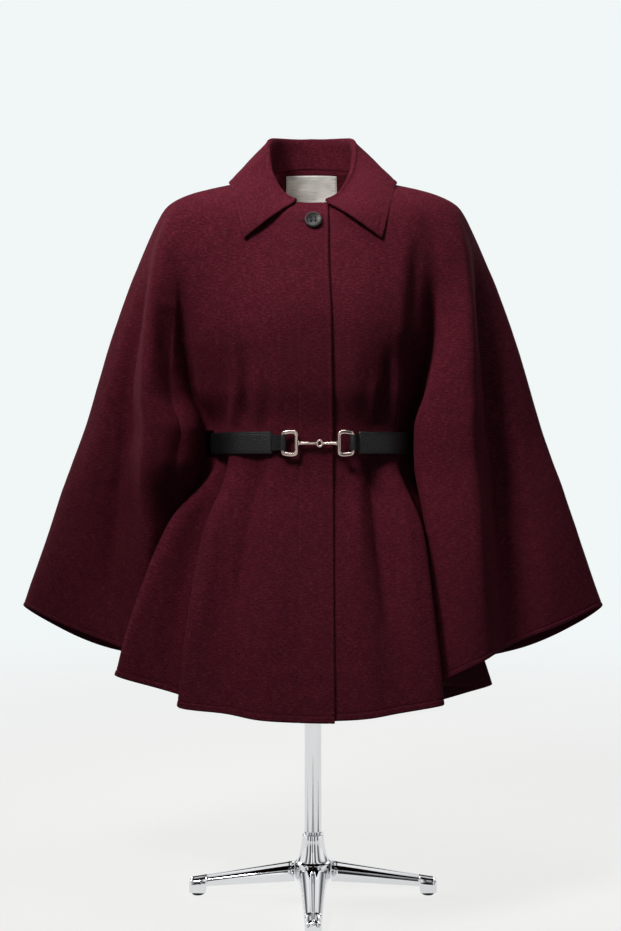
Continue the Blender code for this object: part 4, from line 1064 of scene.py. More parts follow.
@dataclass
class Collar:
    """Shirt collar: a standing band turned over a soft roll into the leaf, in one cloth."""

    cape: Cape
    wool: Material
    stitching: Stitching
    wall: float = 2.9
    side: float = 59.0
    front: float = 69.0
    back: float = 61.0
    shift: float = -2.5
    edge_stitch: float = 6.5
    stand_stitch: float = 17.0
    # Number of the profile's point on top of the roll.
    roll_place: float = 5.0
    roll_height: Path = ((20, 972.0), (27, 975.5), (38, 983.5), (56, 1006.0), (73, 1030.0), (82, 1048.0),
                         (90, 1061.0), (105, 1074.0), (120, 1080.0), (150, 1085.0), (180, 1087.0))
    # Angle, then the place on the cloth: fold line number of the front and distance down.
    leaf_edge: Path = ((20, 3.25, 136.0), (30, 3.75, 110.0), (45, 4.75, 84.0), (60, 6.3, 60.0),
                       (75, 9.3, 42.0), (90, 13.0, 34.5))
    leaf_back: Path = ((90, 34.5), (120, 35.0), (150, 34.0), (180, 33.0))

    def roll(self, angle: float, side: Side) -> Point:
        """Point of the roll line."""
        turn = math.radians(angle)
        deep = self.front if angle <= 90 else self.back
        table = np.asarray(self.roll_height)
        z = float(steady(table[:, 0], table[:, 1], np.array([angle]))[0])
        return np.array((side.value * self.side * math.sin(turn) + self.shift, -deep * math.cos(turn), z))

    def edge(self, angle: float, side: Side) -> Point:
        """Lower edge of the leaf on the cloth, cut straight from its point to the shoulder."""
        spot = self.rest(angle, side)
        if angle > 78:
            return spot
        first, last = self.rest(20, side), self.rest(78, side)
        chord = last - first
        place = first + chord * float((spot - first) @ chord / (chord @ chord))
        return np.array((place[0], min(place[1], spot[1] - 0.4), place[2]))

    def rest(self, angle: float, side: Side) -> Point:
        """Point of the cloth under the leaf's edge, lifted by the cloth's thickness."""
        lift = CAD_WALL / 2 + 1.5 + 0.7
        if angle <= 90:
            table = np.asarray(self.leaf_edge)
            u, v = steady(table[:, 0], table[:, 1:], np.array([angle]))[0]
            run = self.cape.runs["front_right" if side is Side.RIGHT else "front_left"]
            spot, out = run.spot(u, v)
            return spot + out * lift
        table = np.asarray(self.leaf_back)
        v = float(steady(table[:, 0], table[:, 1], np.array([angle]))[0])
        run = self.cape.runs["back"]
        u = (angle - 90) / 90 * 6.0
        spot, out = run.spot(u if side is Side.RIGHT else len(run.lines) - 1 - u, v)
        return spot + out * (lift + 0.6)

    def profile(self, angle: float, side: Side) -> np.ndarray:
        """Points from the neck seam inside, over the roll, to the leaf's edge."""
        roll = self.roll(angle, side)
        away = unit(np.array(((roll[0] - self.shift) / self.side**2, roll[1] / self.front**2, 0.0)))
        foot = neck_place(angle) * np.array((side.value, 1, 1)) + np.array((0, 0, 1.0))
        start = roll + np.array((0, 0, -5.8))
        start[2] = max(start[2], foot[2] + 2.2)
        rise = start - foot
        line = [foot, foot + rise * 0.33, foot + rise * 0.68, start]
        high = min(1.0, (roll[2] - foot[2]) / 8.0)
        for reach, drop in ((1.2, 1.4 * high), (3.6, 0.6), (6.2, 4.4)):
            line.append(roll + away * reach - np.array((0, 0, drop)))
        edge = self.edge(angle, side)
        ahead = max(math.cos(math.radians(angle)), 0.0)
        bulge = np.array((0, -11.0 * ahead, 0)) + (away * 3.0 + np.array((0, 0, 1.6))) * (1 - ahead)
        last = line[-1]
        for share in (0.25, 0.5, 0.75, 0.9, 1.0):
            line.append(last + (edge - last) * share + bulge * math.sin(math.pi * share))
        return np.array(line)

    def build(self) -> Object:
        """Make the collar with its edge stitching."""
        ring = [(a, Side.RIGHT) for a in np.linspace(20, 180, 78)]
        ring += [(a, Side.LEFT) for a in np.linspace(180, 20, 78)[1:]]
        lines = np.array([self.profile(a, s) for a, s in ring])
        first, last = 2 * lines[:, :1] - lines[:, 1:2], 2 * lines[:, -1:] - lines[:, -2:-1]
        guide = np.concatenate((first, lines, last), 1)
        stretches = [np.linspace(a, b, n, endpoint=False)
                     for a, b, n in ((0, 3, 12), (3, 6, 15), (6, 10, 16))]
        steps = np.concatenate(stretches + [np.linspace(10, 11, 14)])
        pts = round_curve(guide, steps).transpose(1, 0, 2)
        out = facing(pts, 1)
        pts = Cape.ripple(pts, out * 0.35)
        out = facing(pts, 1)
        flat = flat_places(pts)
        down = flat[..., 1]
        to_edge = np.minimum(down[-1:] - down, np.minimum(flat[..., 0], flat[:, -1:, 0] - flat[..., 0]))
        turned = int(np.searchsorted(steps, self.roll_place))
        leaf = np.arange(len(steps))[:, None] > turned
        groove = np.exp(-((down[-1:] - down - self.edge_stitch) / 1.0) ** 2) * leaf
        outer = self.wall / 2 - 0.45 * groove + 0.25 * (to_edge < self.edge_stitch) * leaf
        obj = cloth_shell("cloth_collar", pts, out, outer, self.wall / 2, 1, self.wool, flat)
        skin = pts + out * (outer[..., None] + THREAD_LIFT)
        under = pts - out * (self.wall / 2 + THREAD_LIFT)

        def seam_row(surface: np.ndarray, trim: int, row: int, above: float) -> np.ndarray:
            """Run of points on a surface at a distance above one of its rows."""
            return np.array([[np.interp(down[row, c] - above, down[:, c], surface[:, c, k]) for k in range(3)]
                             for c in range(trim, pts.shape[1] - trim)])

        sewn = [seam_row(skin, 4, -1, self.edge_stitch), seam_row(under, 30, turned, self.stand_stitch)]
        for near in (flat[..., 0], flat[:, -1:, 0] - flat[..., 0]):
            lane = []
            for i in range(turned + 4, len(steps) - 1):
                if down[-1, 0] - down[i, 0] < self.edge_stitch:
                    break
                order = np.argsort(near[i])
                lane.append([np.interp(self.edge_stitch, near[i, order], skin[i, order, k])
                             for k in range(3)])
            sewn.append(np.array(lane))
        thread = self.stitching.sew("stitches_collar", sewn)
        stand_for(obj, "collar_stand", "collar_fall")
        return obj


@dataclass
class NeckLabel:
    """Plain satin label sewn inside the back neck; its face is left bare."""

    cape: Cape
    finish: Material
    stitching: Stitching
    width: float = 75.0
    start: float = 5.5
    end: float = 48.5
    wall: float = 0.8
    shift: float = -2.0

    def build(self) -> Object:
        """Make the label and the stitches down its two short ends."""
        run = self.cape.runs["back"]
        rows = np.linspace(self.start, self.end, 24)
        lines = np.linspace(1.0, 11.0, 160)
        wide = np.linspace(-self.width / 2, self.width / 2, 40) + self.shift
        pts = np.array([[run.spot(float(np.interp(x, run.grid(lines, [v])[0, :, 0], lines)), v) for x in wide]
                        for v in rows])
        mid, out = pts[:, :, 0], pts[:, :, 1]
        mid = mid - out * (CAD_WALL / 2 + self.wall / 2 + 0.6)
        flat = flat_places(mid)
        obj = cloth_shell("neck_label_satin", mid, out, self.wall / 2, self.wall / 2, 1, self.finish, flat)
        inside = mid - out * (self.wall / 2 + 0.08)
        ends = [inside[1:-1, 1], inside[1:-1, -2]]
        fine_thread = Stitching(self.stitching.finish, 1.9, 1.5, 0.2, self.stitching.tree)
        thread = fine_thread.sew("stitches_label", ends)
        stand_for(obj, "neck_label")
        LOG.info("label: %d faces", len(obj.data.polygons))
        return obj


@dataclass
class Button:
    """Four-hole horn button with its thread and the buttonhole beside it."""

    cape: Cape
    horn: Material
    thread: Material
    x: float = 0.4
    z: float = 938.0
    radius: float = 12.0
    thick: float = 4.4
    hole: float = 1.3
    spacing: float = 2.9
    # Ends of the buttonhole along X and the stitches along each side.
    slot: tuple[float, float] = (-22.0, -7.0)
    slot_bars: int = 27

    def place(self) -> tuple[Point, Point, Point, Point]:
        """Base point, then the button's side, up and outward directions."""
        run = self.cape.runs["front_right"]
        downs = np.linspace(0, 250, 501)
        line = run.grid([0.6], downs)[:, 0]
        down = float(np.interp(-self.z, -line[:, 2], downs))
        spot, out = run.spot(0.6, down)
        out[0] = 0.0
        out = unit(out)
        up = np.array((0.0, -out[2], out[1]))
        up = up if up[2] > 0 else -up
        return np.array((self.x, spot[1], self.z)) + out * 1.6, np.cross(up, out), up, out

    def build(self) -> None:
        """Turn the button, drill it and sew it on."""
        base, side, up, out = self.place()
        r, t = self.radius, self.thick

        def down_on(points: np.ndarray) -> np.ndarray:
            """Lay points of the button's own axes on the cloth."""
            return base + points @ np.array((side, up, out))

        profile = ((0, r - 2.4), (0.4, r - 1.4), (1.2, r - 0.5), (2.2, r), (3.0, r - 0.1),
                   (t - 0.7, r - 0.5), (t - 0.2, r - 1.1), (t, r - 1.8), (t - 0.2, r - 2.6),
                   (t - 0.8, r - 3.5), (t - 1.2, r - 4.6), (t - 1.3, 2.0), (t - 1.3, 0.6))
        points, faces = lathe(profile, 64)
        button = make_solid("button_horn", down_on(points), faces, self.horn)
        tools = []
        for sx in (-1, 1):
            for sy in (-1, 1):
                pts, fcs = lathe(((-1, self.hole), (t + 1, self.hole)), 20,
                                 (sx * self.spacing, sy * self.spacing, 0))
                tool = make_solid("drill", down_on(pts), fcs, self.horn)
                tools.append(tool)
                step = button.modifiers.new("drill", "BOOLEAN")
                step.operation, step.solver, step.object = "DIFFERENCE", "EXACT", tool
        settle(button)
        for tool in tools:
            bpy.data.objects.remove(tool, do_unlink=True)
        soften(button, 0.00025, 2)
        button.data.shade_smooth()
        bars = []
        s = self.spacing
        for shift in (-0.32, 0.32):
            for x in (-s + shift, s + shift):
                way = smooth_path([(x, -s, 0.6), (x, -s + 0.3, t - 1.2), (x, 0, t - 0.75),
                                   (x, s - 0.3, t - 1.2), (x, s, 0.6)], 5)
                pts, fcs = tube(way, np.array((1.0, 0, 0)), circle(0.34, 8), closed=False)
                bars.append((down_on(pts), fcs))
        points, faces = join_parts(bars)
        make_solid("button_thread", points, faces, self.thread)
        stand_for(button, "button")
        self.buttonhole(base, side, up, out)
        LOG.info("button: %d faces", len(button.data.polygons))

    def buttonhole(self, base: Point, side: Point, up: Point, out: Point) -> None:
        """Close satin stitches round a short slot, half under the button."""
        bars = []
        run = self.cape.runs["front_right"]
        lines = np.linspace(0, 2, 60)
        across = run.grid(lines, [60.0])[0, :, 0]
        for x in np.linspace(*self.slot, self.slot_bars):
            place = float(np.interp(-x, -across, lines))
            line = run.grid([place], np.linspace(20, 140, 200))[:, 0]
            spot = np.array([np.interp(-base[2], -line[:, 2], line[:, c]) for c in range(3)]) + out * 1.45
            for sign in (-1, 1):
                a, b = spot + up * sign * 0.35, spot + up * sign * 2.1
                way = np.array([a, a + (b - a) * 0.5 + out * 0.22, b - out * 0.2])
                bars.append(tube(way, side, circle(0.3, 6), closed=False))
        points, faces = join_parts(bars)
        make_solid("buttonhole_stitches", points, faces, self.cape.stitching.finish)


def join_parts(parts: Sequence[Solid]) -> Solid:
    """Put several point and face lists into one."""
    points, faces, start = [], [], 0
    for pts, fcs in parts:
        points.append(pts)
        faces += [tuple(start + v for v in f) for f in fcs]
        start += len(pts)
    return np.vstack(points), faces


@dataclass(frozen=True)
class Rings:
    """Where the clasp's two rings sit and how they are made; the belt is turned round them."""

    right: float = -31.2
    left: float = 43.6
    y: float = -115.0
    tilt: float = math.radians(8.0)
    width: float = 22.0
    wire: float = 2.1


RINGS = Rings()


@dataclass
class Belt:
    """Stitched leather strap round the waist and the turned ends that hold the clasp."""

    leather: Material
    thread: Stitching
    height: float = 30.0
    thick: float = 3.5
    z: float = 638.5
    side: float = 143.2
    front: float = 112.2
    back: float = 90.3
    end_right: float = -55.0
    end_left: float = 61.0

    def at(self, turn: float) -> Point:
        """Middle line of the strap, 0 at the front."""
        deep = self.front if math.cos(turn) >= 0 else self.back
        return np.array((self.side * math.sin(turn), -deep * math.cos(turn), self.z))

    def section(self) -> np.ndarray:
        """Rounded strap section as (up, out), with a shallow groove at each stitch row."""
        h, t = self.height / 2, self.thick / 2
        face = [(-h + 0.3, t - 1.1), (-h + 0.9, t - 0.45), (-h + 1.8, t - 0.1), (-h + 2.4, t - 0.05),
                (-h + 2.9, t - 0.45), (-h + 3.4, t - 0.02), (-h + 5.0, t + 0.05), (-5.0, t + 0.12),
                (0, t + 0.15)]
        face += [(-u, v) for u, v in reversed(face[:-1])]
        rear = [(h, 0.0), (h - 0.3, -t + 0.9), (h - 1.2, -t), (-h + 1.2, -t), (-h + 0.3, -t + 0.9), (-h, 0.0)]
        return np.array(face + rear)

    def build(self) -> None:
        """Make the strap, its stitches and the two turned ends."""
        start = math.asin(self.end_left / self.side)
        end = 2 * math.pi + math.asin(self.end_right / self.side)
        turns = np.linspace(start, end, 200)
        mid = np.array([self.at(t) for t in turns])
        go = unit(np.array([self.at(t + 0.01) - self.at(t - 0.01) for t in turns]))
        out = unit(np.cross(go, (0, 0, 1.0)))
        sec = self.section()
        upright = np.outer(sec[:, 0], (0, 0, 1.0))
        points = np.vstack([m + np.outer(sec[:, 1], o) + upright for m, o in zip(mid, out)])
        faces = ring_faces(len(turns), len(sec))
        uv = np.array([(a, b) for a in run_length(mid) for b in run_length(sec)]) * MM
        strap = make_solid("belt_strap_leather", points, faces, self.leather, uv)
        stand_for(strap, "belt_strap")
        groove = mid + out * (self.thick / 2 - 0.12)
        rise = np.array((0, 0, self.height / 2 - 2.9))
        self.thread.sew("stitches_belt", [groove - rise, groove + rise])
        self.build_loop("right", RINGS.right, self.end_right, -1)
        self.build_loop("left", RINGS.left, self.end_left, 1)
        LOG.info("belt: %d faces", len(strap.data.polygons))

    def build_loop(self, name: str, ring_x: float, strap_x: float, side: int) -> None:
        """Leather turned round a ring and caught back on the strap.

        Args:
            name: right or left.
            ring_x: Middle of the ring.
            strap_x: End of the strap.
            side: Sign of the strap's side.
        """
        reach = RINGS.width / 2 - RINGS.wire
        bar = np.array((ring_x + side * reach * math.cos(RINGS.tilt), RINGS.y + reach * math.sin(RINGS.tilt)))
        turn = math.asin(strap_x / self.side)
        tail = self.at(turn)
        tail = tail + unit(self.at(turn - side * 0.02) - tail) * 0.5
        go = tail[:2] - bar
        length = float(np.linalg.norm(go))
        go = go / length
        cross = np.array((-go[1], go[0]))
        hole, skin, high = RINGS.wire + 0.5, 1.7, 20.8
        outer, inner = [], []
        for turned in range(34, 330, 12):
            a = math.radians(turned)
            d = go * math.cos(a) + cross * math.sin(a)
            outer.append(bar + d * (hole + skin))
            inner.append(bar + d * hole)
        for s in (-1, 1):
            outer.append(bar + go * length + cross * 1.75 * s)
            inner.append(bar + (go * math.cos(0.2) + s * cross * math.sin(0.2)) * hole)
        n = len(outer)
        levels = (-high / 2, high / 2)
        points = [(p[0], p[1], self.z + z) for z in levels for p in outer + inner]
        faces = []
        for k in range(n):
            m = (k + 1) % n
            faces += [(k, m, 2 * n + m, 2 * n + k), (n + m, n + k, 3 * n + k, 3 * n + m),
                      (m, k, n + k, n + m), (2 * n + k, 2 * n + m, 3 * n + m, 3 * n + k)]
        uv = np.array([(0.001 * k, z * MM) for z in levels for k in list(range(n)) * 2])
        loop = make_solid("belt_loop_leather_" + name, np.array(points), faces, self.leather, uv)
        soften(loop, 0.0006, 3)
        stand_for(loop, "belt_loop_" + name)


@dataclass
class Clasp:
    """Two stirrup rings with a grooved bow and the bar link between them."""

    metal: Material
    z: float = 637.5
    # Upper half of a ring from the bar on the link's side: toward the strap, up.
    bow: Path = ((-8.9, 0), (-8.9, 6.0), (-8.9, 11.2), (-7.3, 14.3), (-2.4, 15.2), (2.6, 14.7), (7.4, 13.6),
                 (8.9, 11.6), (8.9, 0))
    # Middle of the link's small ring, and the link's clearance from the two big ones.
    link_x: float = 8.6
    link_gap: float = 0.35
    # The link's end knob: distance from its end, radius.
    knob: Path = ((0.0, 3.9), (0.25, 4.25), (0.7, 4.4), (1.1, 4.2), (1.6, 3.4), (2.4, 2.85), (3.4, 2.6),
                  (4.6, 2.45), (8.0, 2.2))

    def build_ring(self, name: str, x: float, side: int) -> None:
        """One ring: a straight bar, squared corners and a bow with a groove along its face."""
        right = np.array((side * math.cos(RINGS.tilt), math.sin(RINGS.tilt), 0.0))
        up = np.array((0, 0, 1.0))
        front = np.cross(right, up)
        flat = np.array(list(self.bow) + [(p, -q) for p, q in reversed(self.bow[1:-1])])
        path2 = smooth_path(np.column_stack((flat, np.zeros(len(flat)))), 8, closed=True)
        centre = np.array((x, RINGS.y, self.z))
        path = centre + np.outer(path2[:, 0], right) + np.outer(path2[:, 1], up)
        tall = np.abs(path2[:, 1])
        swell = 0.9 + 0.42 * np.clip((tall - 9.5) / 4.0, 0, 1)
        r = RINGS.wire
        section = []
        for a in np.arange(20) * 2 * math.pi / 20:
            groove = 1 - 0.16 * math.exp(-((abs(math.sin(a)) - 1) / 0.12) ** 2)
            section.append((r * math.cos(a) * 1.06, r * math.sin(a) * groove))
        points, faces = tube(path, front, section, True, swell)
        ring = make_solid("clasp_ring_metal_" + name, points, faces, self.metal)
        stand_for(ring, "clasp_ring_" + name)

    def build(self) -> None:
        """Make the rings and the link."""
        self.build_ring("right", RINGS.right, -1)
        self.build_ring("left", RINGS.left, 1)
        left = RINGS.right + RINGS.width / 2 + self.link_gap
        right = RINGS.left - RINGS.width / 2 - self.link_gap
        x = self.link_x
        near_ring = [(x - 3.8, 2.05), (x - 3.4, 1.5)]
        halves = ([(left + d, w) for d, w in self.knob] + near_ring,
                  [(2 * x - d, w) for d, w in reversed(near_ring)]
                  + [(right - d, w) for d, w in reversed(self.knob)])
        parts = [lathe(half, 28, (0, RINGS.y, self.z), 0) for half in halves]
        turn = np.arange(48) * 2 * math.pi / 48
        ring = np.column_stack((x + 3.2 * np.cos(turn), np.full(48, RINGS.y), self.z + 4.3 * np.sin(turn)))
        parts.append(tube(ring, np.array((0, -1.0, 0)), circle(1.45, 16)))
        link = make_solid("clasp_link_metal", *join_parts(parts), self.metal)
        stand_for(link, "clasp_link")
        LOG.info("clasp: link %.1f mm", right - left)


@dataclass
class DressForm:
    """Limbless form in a pale jersey cover, scooped at the neck so that it stays out of sight."""

    cape: Cape
    jersey: Material
    gap: float = 2.0
    # Height, half width, depth in front, depth behind and power of each ring.
    rings: Path = ((924, 184, 81, 92, 2.4), (880, 168, 87, 98, 2.4), (800, 146, 97, 98, 2.4),
                   (715, 128, 86, 90, 2.2), (666, 118, 80, 88, 2.0), (612, 118, 80, 88, 2.0),
                   (560, 128, 88, 98, 2.0), (500, 132, 92, 104, 2.0), (436, 118, 80, 90, 2.0),
                   (430, 110, 74, 84, 2.0))
    floor: float = 938.0

    def build(self) -> Object:
        """Make the form from the cape's own yoke, then the torso's rings."""
        runs = self.cape.runs
        order = [("front_right", k) for k in (1, 2, 3, 4, 5, 6, 7, 9, 11, 12)]
        order += [("back", k) for k in range(len(runs["back"].lines))]
        order += [("front_left", k) for k in (12, 11, 9, 7, 6, 5, 4, 3, 2, 1)]
        upper: list[list[Point]] = [[], [], [], []]
        for name, k in order:
            run = runs[name]
            rim = 6.0 + (62.0 * math.sin(math.pi * k / (len(run.lines) - 1)) if name == "back" else 0.0)
            extra = LAP_STEP + 0.4 if name == "front_right" and k <= 2 else 0.0
            for n, row in enumerate((22.0, 45.0, 75.0, 105.0)):
                spot, out = run.spot(k, rim if n == 0 else max(row, rim + 4.0 * n))
                upper[n].append(spot - out * (CAD_WALL / 2 + self.gap + extra))
        turns = [math.atan2(p[0] / SHOULDER["side"], -p[1] / SHOULDER["front"]) for p in upper[3]]
        rings = [np.array(r) for r in upper]
        for z, side, front, deep, curve in self.rings:
            line = []
            for turn in turns:
                c, s = math.cos(turn), math.sin(turn)
                line.append((side * math.copysign(abs(s) ** (2 / curve), s),
                             -(front if c > 0 else deep) * math.copysign(abs(c) ** (2 / curve), c), z))
            rings.append(np.array(line))
        rim = rings[0]
        rings = [np.column_stack((rim[:, :2] * 0.86, np.full(len(rim), self.floor))),
                 rim * np.array((0.94, 0.94, 1)) - np.array((0, 0, 3.0))] + rings
        count = len(order)
        points = np.vstack(rings + [rings[0].mean(0)[None], rings[-1].mean(0)[None]])
        faces = ring_faces(len(rings), count)[:-2]
        top, bottom, last = len(points) - 2, len(points) - 1, (len(rings) - 1) * count
        for k in range(count):
            faces += [(top, (k + 1) % count, k), (bottom, last + k, last + (k + 1) % count)]
        form = make_solid("form_torso_jersey", points, faces, self.jersey)
        soft = form.modifiers.new("smooth", "SUBSURF")
        soft.levels = soft.render_levels = 2
        settle(form)
        form.data.shade_smooth()
        stand_for(form, "form_torso")
        LOG.info("form: %d faces", len(form.data.polygons))
        return form


@dataclass
class Stand:
    """Chrome pole, turned hub, four cast legs and their rubber glides."""

    chrome: Material
    rubber: Material
    pole: tuple[float, float, float] = (12.0, 86.4, 429.6)
    flange: tuple[float, float] = (36.0, 7.0)
    # Height and radius.
    hub: Path = ((19.0, 20.4), (19.6, 21.4), (21.2, 23.6), (22.8, 25.0), (24.6, 25.5), (44.8, 25.5),
                 (46.2, 25.2), (47.2, 24.2), (48.6, 22.6), (50.4, 21.4), (56.0, 19.8), (62.0, 18.2),
                 (71.0, 16.6), (78.0, 15.7), (84.6, 15.0), (85.6, 14.7), (86.0, 14.2))
    start: float = 26.0
    reach: float = 175.0
    toe: float = 152.0
    toe_under: float = 4.0
    width: tuple[float, float] = (40.0, 21.0)
    top: tuple[float, float] = (46.0, 23.0)
    under: tuple[float, float] = (23.6, 12.5)
    glide: tuple[float, float, float] = (8.5, 163.0, 3.7)

    def turned(self, name: str, profile: Path, finish: Material, around: int = 72,
               centre: Sequence[float] = (0, 0, 0)) -> None:
        """Turn one piece and let it stand for its node."""
        obj = make_solid(name + "_turned", *lathe(profile, around, centre), finish)
        stand_for(obj, name)

    def leg(self, name: str, turn: float) -> None:
        """One tapered leg with flat sides, a low spine on its crown and a toe turned down."""
        across = (np.linspace(-0.5, -0.12, 12), np.linspace(-0.09, 0.09, 7), np.linspace(0.12, 0.5, 12))
        section = [(u, 0.55 + 0.45 * (1 - 4 * u * u) ** 0.42 + 0.06 * math.exp(-(u / 0.06) ** 2))
                   for u in np.concatenate(across)]
        section += [(0.5, 0.08), (0.47, 0.02), (0.42, 0.0), (-0.42, 0.0), (-0.47, 0.02), (-0.5, 0.08)]
        rows = []
        turned = (self.toe - 2.0, self.toe - 1.5, self.toe - 1.0, self.toe - 0.5, self.toe)
        tip = self.reach - np.array((14, 8, 5, 3.6, 2.4, 1.4, 0.7, 0.2, 0.0))
        for along in np.concatenate((np.linspace(self.start, self.toe - 4, 14), turned, tip)):
            share = (along - self.start) / (self.reach - self.start)
            wide = self.width[0] + (self.width[1] - self.width[0]) * share**0.8
            top = self.top[0] + (self.top[1] - self.top[0]) * share
            low = self.under[0] + (self.under[1] - self.under[0]) * share
            drop = min(max((along - self.toe + 2.0) / 2.0, 0.0), 1.0)
            low += (self.toe_under - low) * drop * drop * (3 - 2 * drop)
            end = 1 - math.sqrt(max(1 - (max(along - self.reach + 5.0, 0.0) / 5.0) ** 2, 0.0))
            wide *= 1 - 0.34 * end
            top -= 5.0 * end
            rows.append([(along * math.cos(turn) - u * wide * math.sin(turn),
                          along * math.sin(turn) + u * wide * math.cos(turn), low + (top - low) * v)
                         for u, v in section])
        obj = make_solid("stand_leg_cast_" + name, np.array(rows).reshape(-1, 3),
                         ring_faces(len(rows), len(section)), self.chrome)
        stand_for(obj, "stand_leg_" + name)
        radius, at, high = self.glide
        profile = ((0.0, radius - 1.4), (0.3, radius - 0.5), (0.9, radius), (high - 0.7, radius),
                   (high - 0.2, radius - 0.3), (high, radius - 0.8))
        self.turned("stand_glide_" + name, profile, self.rubber, 40,
                    (at * math.cos(turn), at * math.sin(turn), 0))

    def build(self) -> None:
        """Make the whole stand."""
        radius, low, high = self.pole
        wide, thick = self.flange
        neck = high - thick
        self.turned("stand_pole", ((low, radius - 0.6), (low + 0.6, radius), (neck - 8, radius),
                                   (neck - 5, radius + 0.8), (neck - 3, radius + 3), (neck - 0.4, wide - 1),
                                   (neck + 0.6, wide), (high - 0.8, wide), (high, wide - 0.8)), self.chrome)
        self.turned("stand_hub", self.hub, self.chrome)
        for n, name in enumerate(("front", "left", "rear", "right")):
            self.leg(name, math.radians(-90 + 90 * n))
        LOG.info("stand: pole %.0f mm high", high)


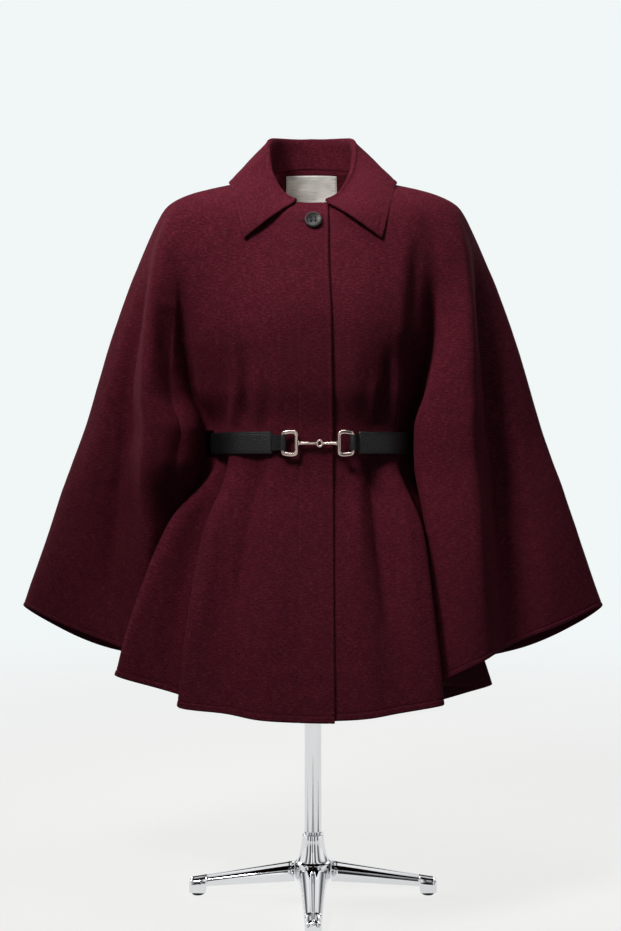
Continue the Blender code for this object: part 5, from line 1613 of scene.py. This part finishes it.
@dataclass
class Studio:
    """Pale floor that fades into a pale surround, soft lamps and the camera."""

    pale: str = "#F1F6F6"
    floor_tone: str = "#F3F3F2"
    radius: float = 9.0
    card_depth: float = -2.6

    @staticmethod
    def paint(name: str, finish: str, *hidden_from: str) -> Tree:
        """Name the newest object, give it an empty material and hide it from some kinds of light.

        Args:
            name: Object name.
            finish: Material name.
            hidden_from: What doesn't see it: camera, diffuse, glossy, shadow or transmission.
        Returns:
            The tree of its material.
        """
        obj = bpy.context.object
        obj.name = name
        mat = bpy.data.materials.new(finish)
        mat.use_nodes = True
        mat.node_tree.nodes.clear()
        obj.data.materials.append(mat)
        for kind in hidden_from:
            setattr(obj, "visible_" + kind, False)
        return mat.node_tree

    def surround(self) -> None:
        """A pale dome that only the camera sees, and a banded one that only mirrors see."""
        bpy.ops.mesh.primitive_uv_sphere_add(segments=64, ring_count=32, radius=self.radius)
        tree = self.paint("studio_dome", "painted_surround", "diffuse", "shadow", "transmission", "glossy")
        glow = add_node(tree, "ShaderNodeEmission", {"Color": linear(self.pale), "Strength": 1.0})
        add_node(tree, "ShaderNodeOutputMaterial", {"Surface": glow})
        bpy.ops.mesh.primitive_uv_sphere_add(segments=64, ring_count=32, radius=self.radius * 0.9)
        tree = self.paint("studio_room", "pale_room_for_mirrors",
                          "camera", "diffuse", "shadow", "transmission")
        spot = add_node(tree, "ShaderNodeTexCoord").outputs["Object"]
        bands = add_node(tree, "ShaderNodeTexWave", {"Vector": spot, "Scale": 0.1, "Distortion": 4.0,
                                                     "Detail": 2.0, "Detail Scale": 0.6})
        tone = add_node(tree, "ShaderNodeMix", {0: bands.outputs[1], 6: linear("#505254"),
                                                7: linear("#FFFFFF")}, data_type="RGBA")
        glow = add_node(tree, "ShaderNodeEmission", {"Color": tone, "Strength": 1.0})
        add_node(tree, "ShaderNodeOutputMaterial", {"Surface": glow})

    def floor(self) -> None:
        """A plain round floor whose rim fades out."""
        bpy.ops.mesh.primitive_circle_add(vertices=96, radius=3.2, fill_type="NGON")
        tree = self.paint("studio_floor", "painted_floor", "diffuse")
        spot = add_node(tree, "ShaderNodeTexCoord").outputs["Object"]
        far = add_node(tree, "ShaderNodeVectorMath", {0: spot}, operation="LENGTH")
        fade = add_node(tree, "ShaderNodeMapRange", {0: far, 1: 0.6, 2: 3.0},
                        interpolation_type="SMOOTHSTEP")
        matt = add_node(tree, "ShaderNodeBsdfDiffuse", {"Color": (0.16, 0.16, 0.158, 1)})
        glow = add_node(tree, "ShaderNodeEmission", {"Color": linear(self.floor_tone), "Strength": 0.88})
        both = add_node(tree, "ShaderNodeAddShader", {0: matt, 1: glow})
        clear = add_node(tree, "ShaderNodeBsdfTransparent")
        mix = add_node(tree, "ShaderNodeMixShader", {0: fade, 1: both, 2: clear})
        add_node(tree, "ShaderNodeOutputMaterial", {"Surface": mix})

    def lamp(self, name: str, place: Sequence[float], aim: Sequence[float], size: tuple[float, float],
             watts: float, tint: str, spread: float = 180.0) -> None:
        """Hang one soft rectangular lamp.

        Args:
            name: Lamp name.
            place: Where it hangs, in metres.
            aim: What it faces.
            size: Width and height in metres.
            watts: Power.
            tint: Colour of its light.
            spread: Full angle of its beam, in degrees.
        """
        data = bpy.data.lights.new(name, "AREA")
        data.shape = "RECTANGLE"
        data.size, data.size_y, data.energy = size[0], size[1], watts
        data.color = linear(tint)[:3]
        data.spread = math.radians(spread)
        obj = put(name, data)
        obj.location = place
        obj.rotation_euler = (Vector(aim) - Vector(place)).to_track_quat("-Z", "Y").to_euler()

    def card(self, name: str, left: float, right: float) -> None:
        """A dark card beside the camera that only mirrors see, for the edges of the chrome."""
        mesh = bpy.data.meshes.new(name)
        corners = [(x, self.card_depth, z) for x, z in ((left, 0), (right, 0), (right, 2), (left, 2))]
        mesh.from_pydata(corners, [], [(0, 1, 2, 3)])
        mat, _ = blank("black_card", Base_Color=linear("#101010"), Roughness=0.9)
        mesh.materials.append(mat)
        obj = put(name, mesh)
        obj.visible_camera = obj.visible_diffuse = obj.visible_shadow = False

    def camera(self) -> None:
        """Level camera at the height of the belt, as the photograph was taken."""
        data = bpy.data.cameras.new("camera")
        data.lens, data.sensor_width = 48.1, 36.0
        obj = put("camera", data)
        obj.location = (-0.0035, -1.766, 0.608)
        obj.rotation_euler = (math.radians(90), 0, 0)
        bpy.context.scene.camera = obj

    def build(self) -> None:
        """Set up the studio."""
        scene = bpy.context.scene
        scene.view_settings.view_transform = "Standard"
        world = bpy.data.worlds.new("studio")
        scene.world = world
        world.use_nodes = True
        back = world.node_tree.nodes["Background"]
        back.inputs["Color"].default_value = linear("#F2F6F8")
        back.inputs["Strength"].default_value = 0.03
        self.surround()
        self.floor()
        self.lamp("key", (-0.75, -0.95, 2.02), (0, -0.15, 1.03), (0.4, 0.4), 3.5, "#FFFCF8", 60)
        self.lamp("over", (0.1, -0.35, 2.25), (0.03, -0.12, 1.0), (0.6, 0.5), 1.3, "#FFFFFF", 64)
        self.lamp("front", (-0.3, -3.0, 1.2), (0, 0, 0.7), (1.6, 1.6), 1.8, "#FFFFFF")
        self.lamp("rear_right", (-2.1, 1.1, 1.7), (0, 0.1, 0.65), (0.8, 0.8), 22, "#FFFFFF")
        self.lamp("rear_left", (1.6, 1.8, 1.7), (0, 0.1, 0.65), (1.2, 1.2), 7, "#FFFFFF")
        self.card("card_left", -1.0, -0.75)
        self.card("card_right", 0.55, 0.9)
        self.camera()


def main() -> None:
    """Load the frame, dress it piece by piece and set up the studio."""
    logging.basicConfig(level=logging.INFO, format="%(name)s %(message)s")
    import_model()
    wool = WoolMelton().build()
    stitching = Stitching(SewingThread().build())
    cape = Cape(wool, stitching)
    cape.build()
    Collar(cape, wool, stitching).build()
    NeckLabel(cape, WovenSatin().build(), stitching).build()
    dark = SewingThread("#0E0B0B", 0.5, "waxed_black_thread").build()
    Button(cape, HORN.build(), dark).build()
    Belt(PebbledLeather().build(), Stitching(dark, 3.2, 2.5, 0.3, stitching.tree)).build()
    Clasp(NICKEL.build()).build()
    DressForm(cape, JERSEY.build()).build()
    Stand(CHROME.build(), RUBBER.build()).build()
    Studio().build()


if __name__ == "__main__":
    main()
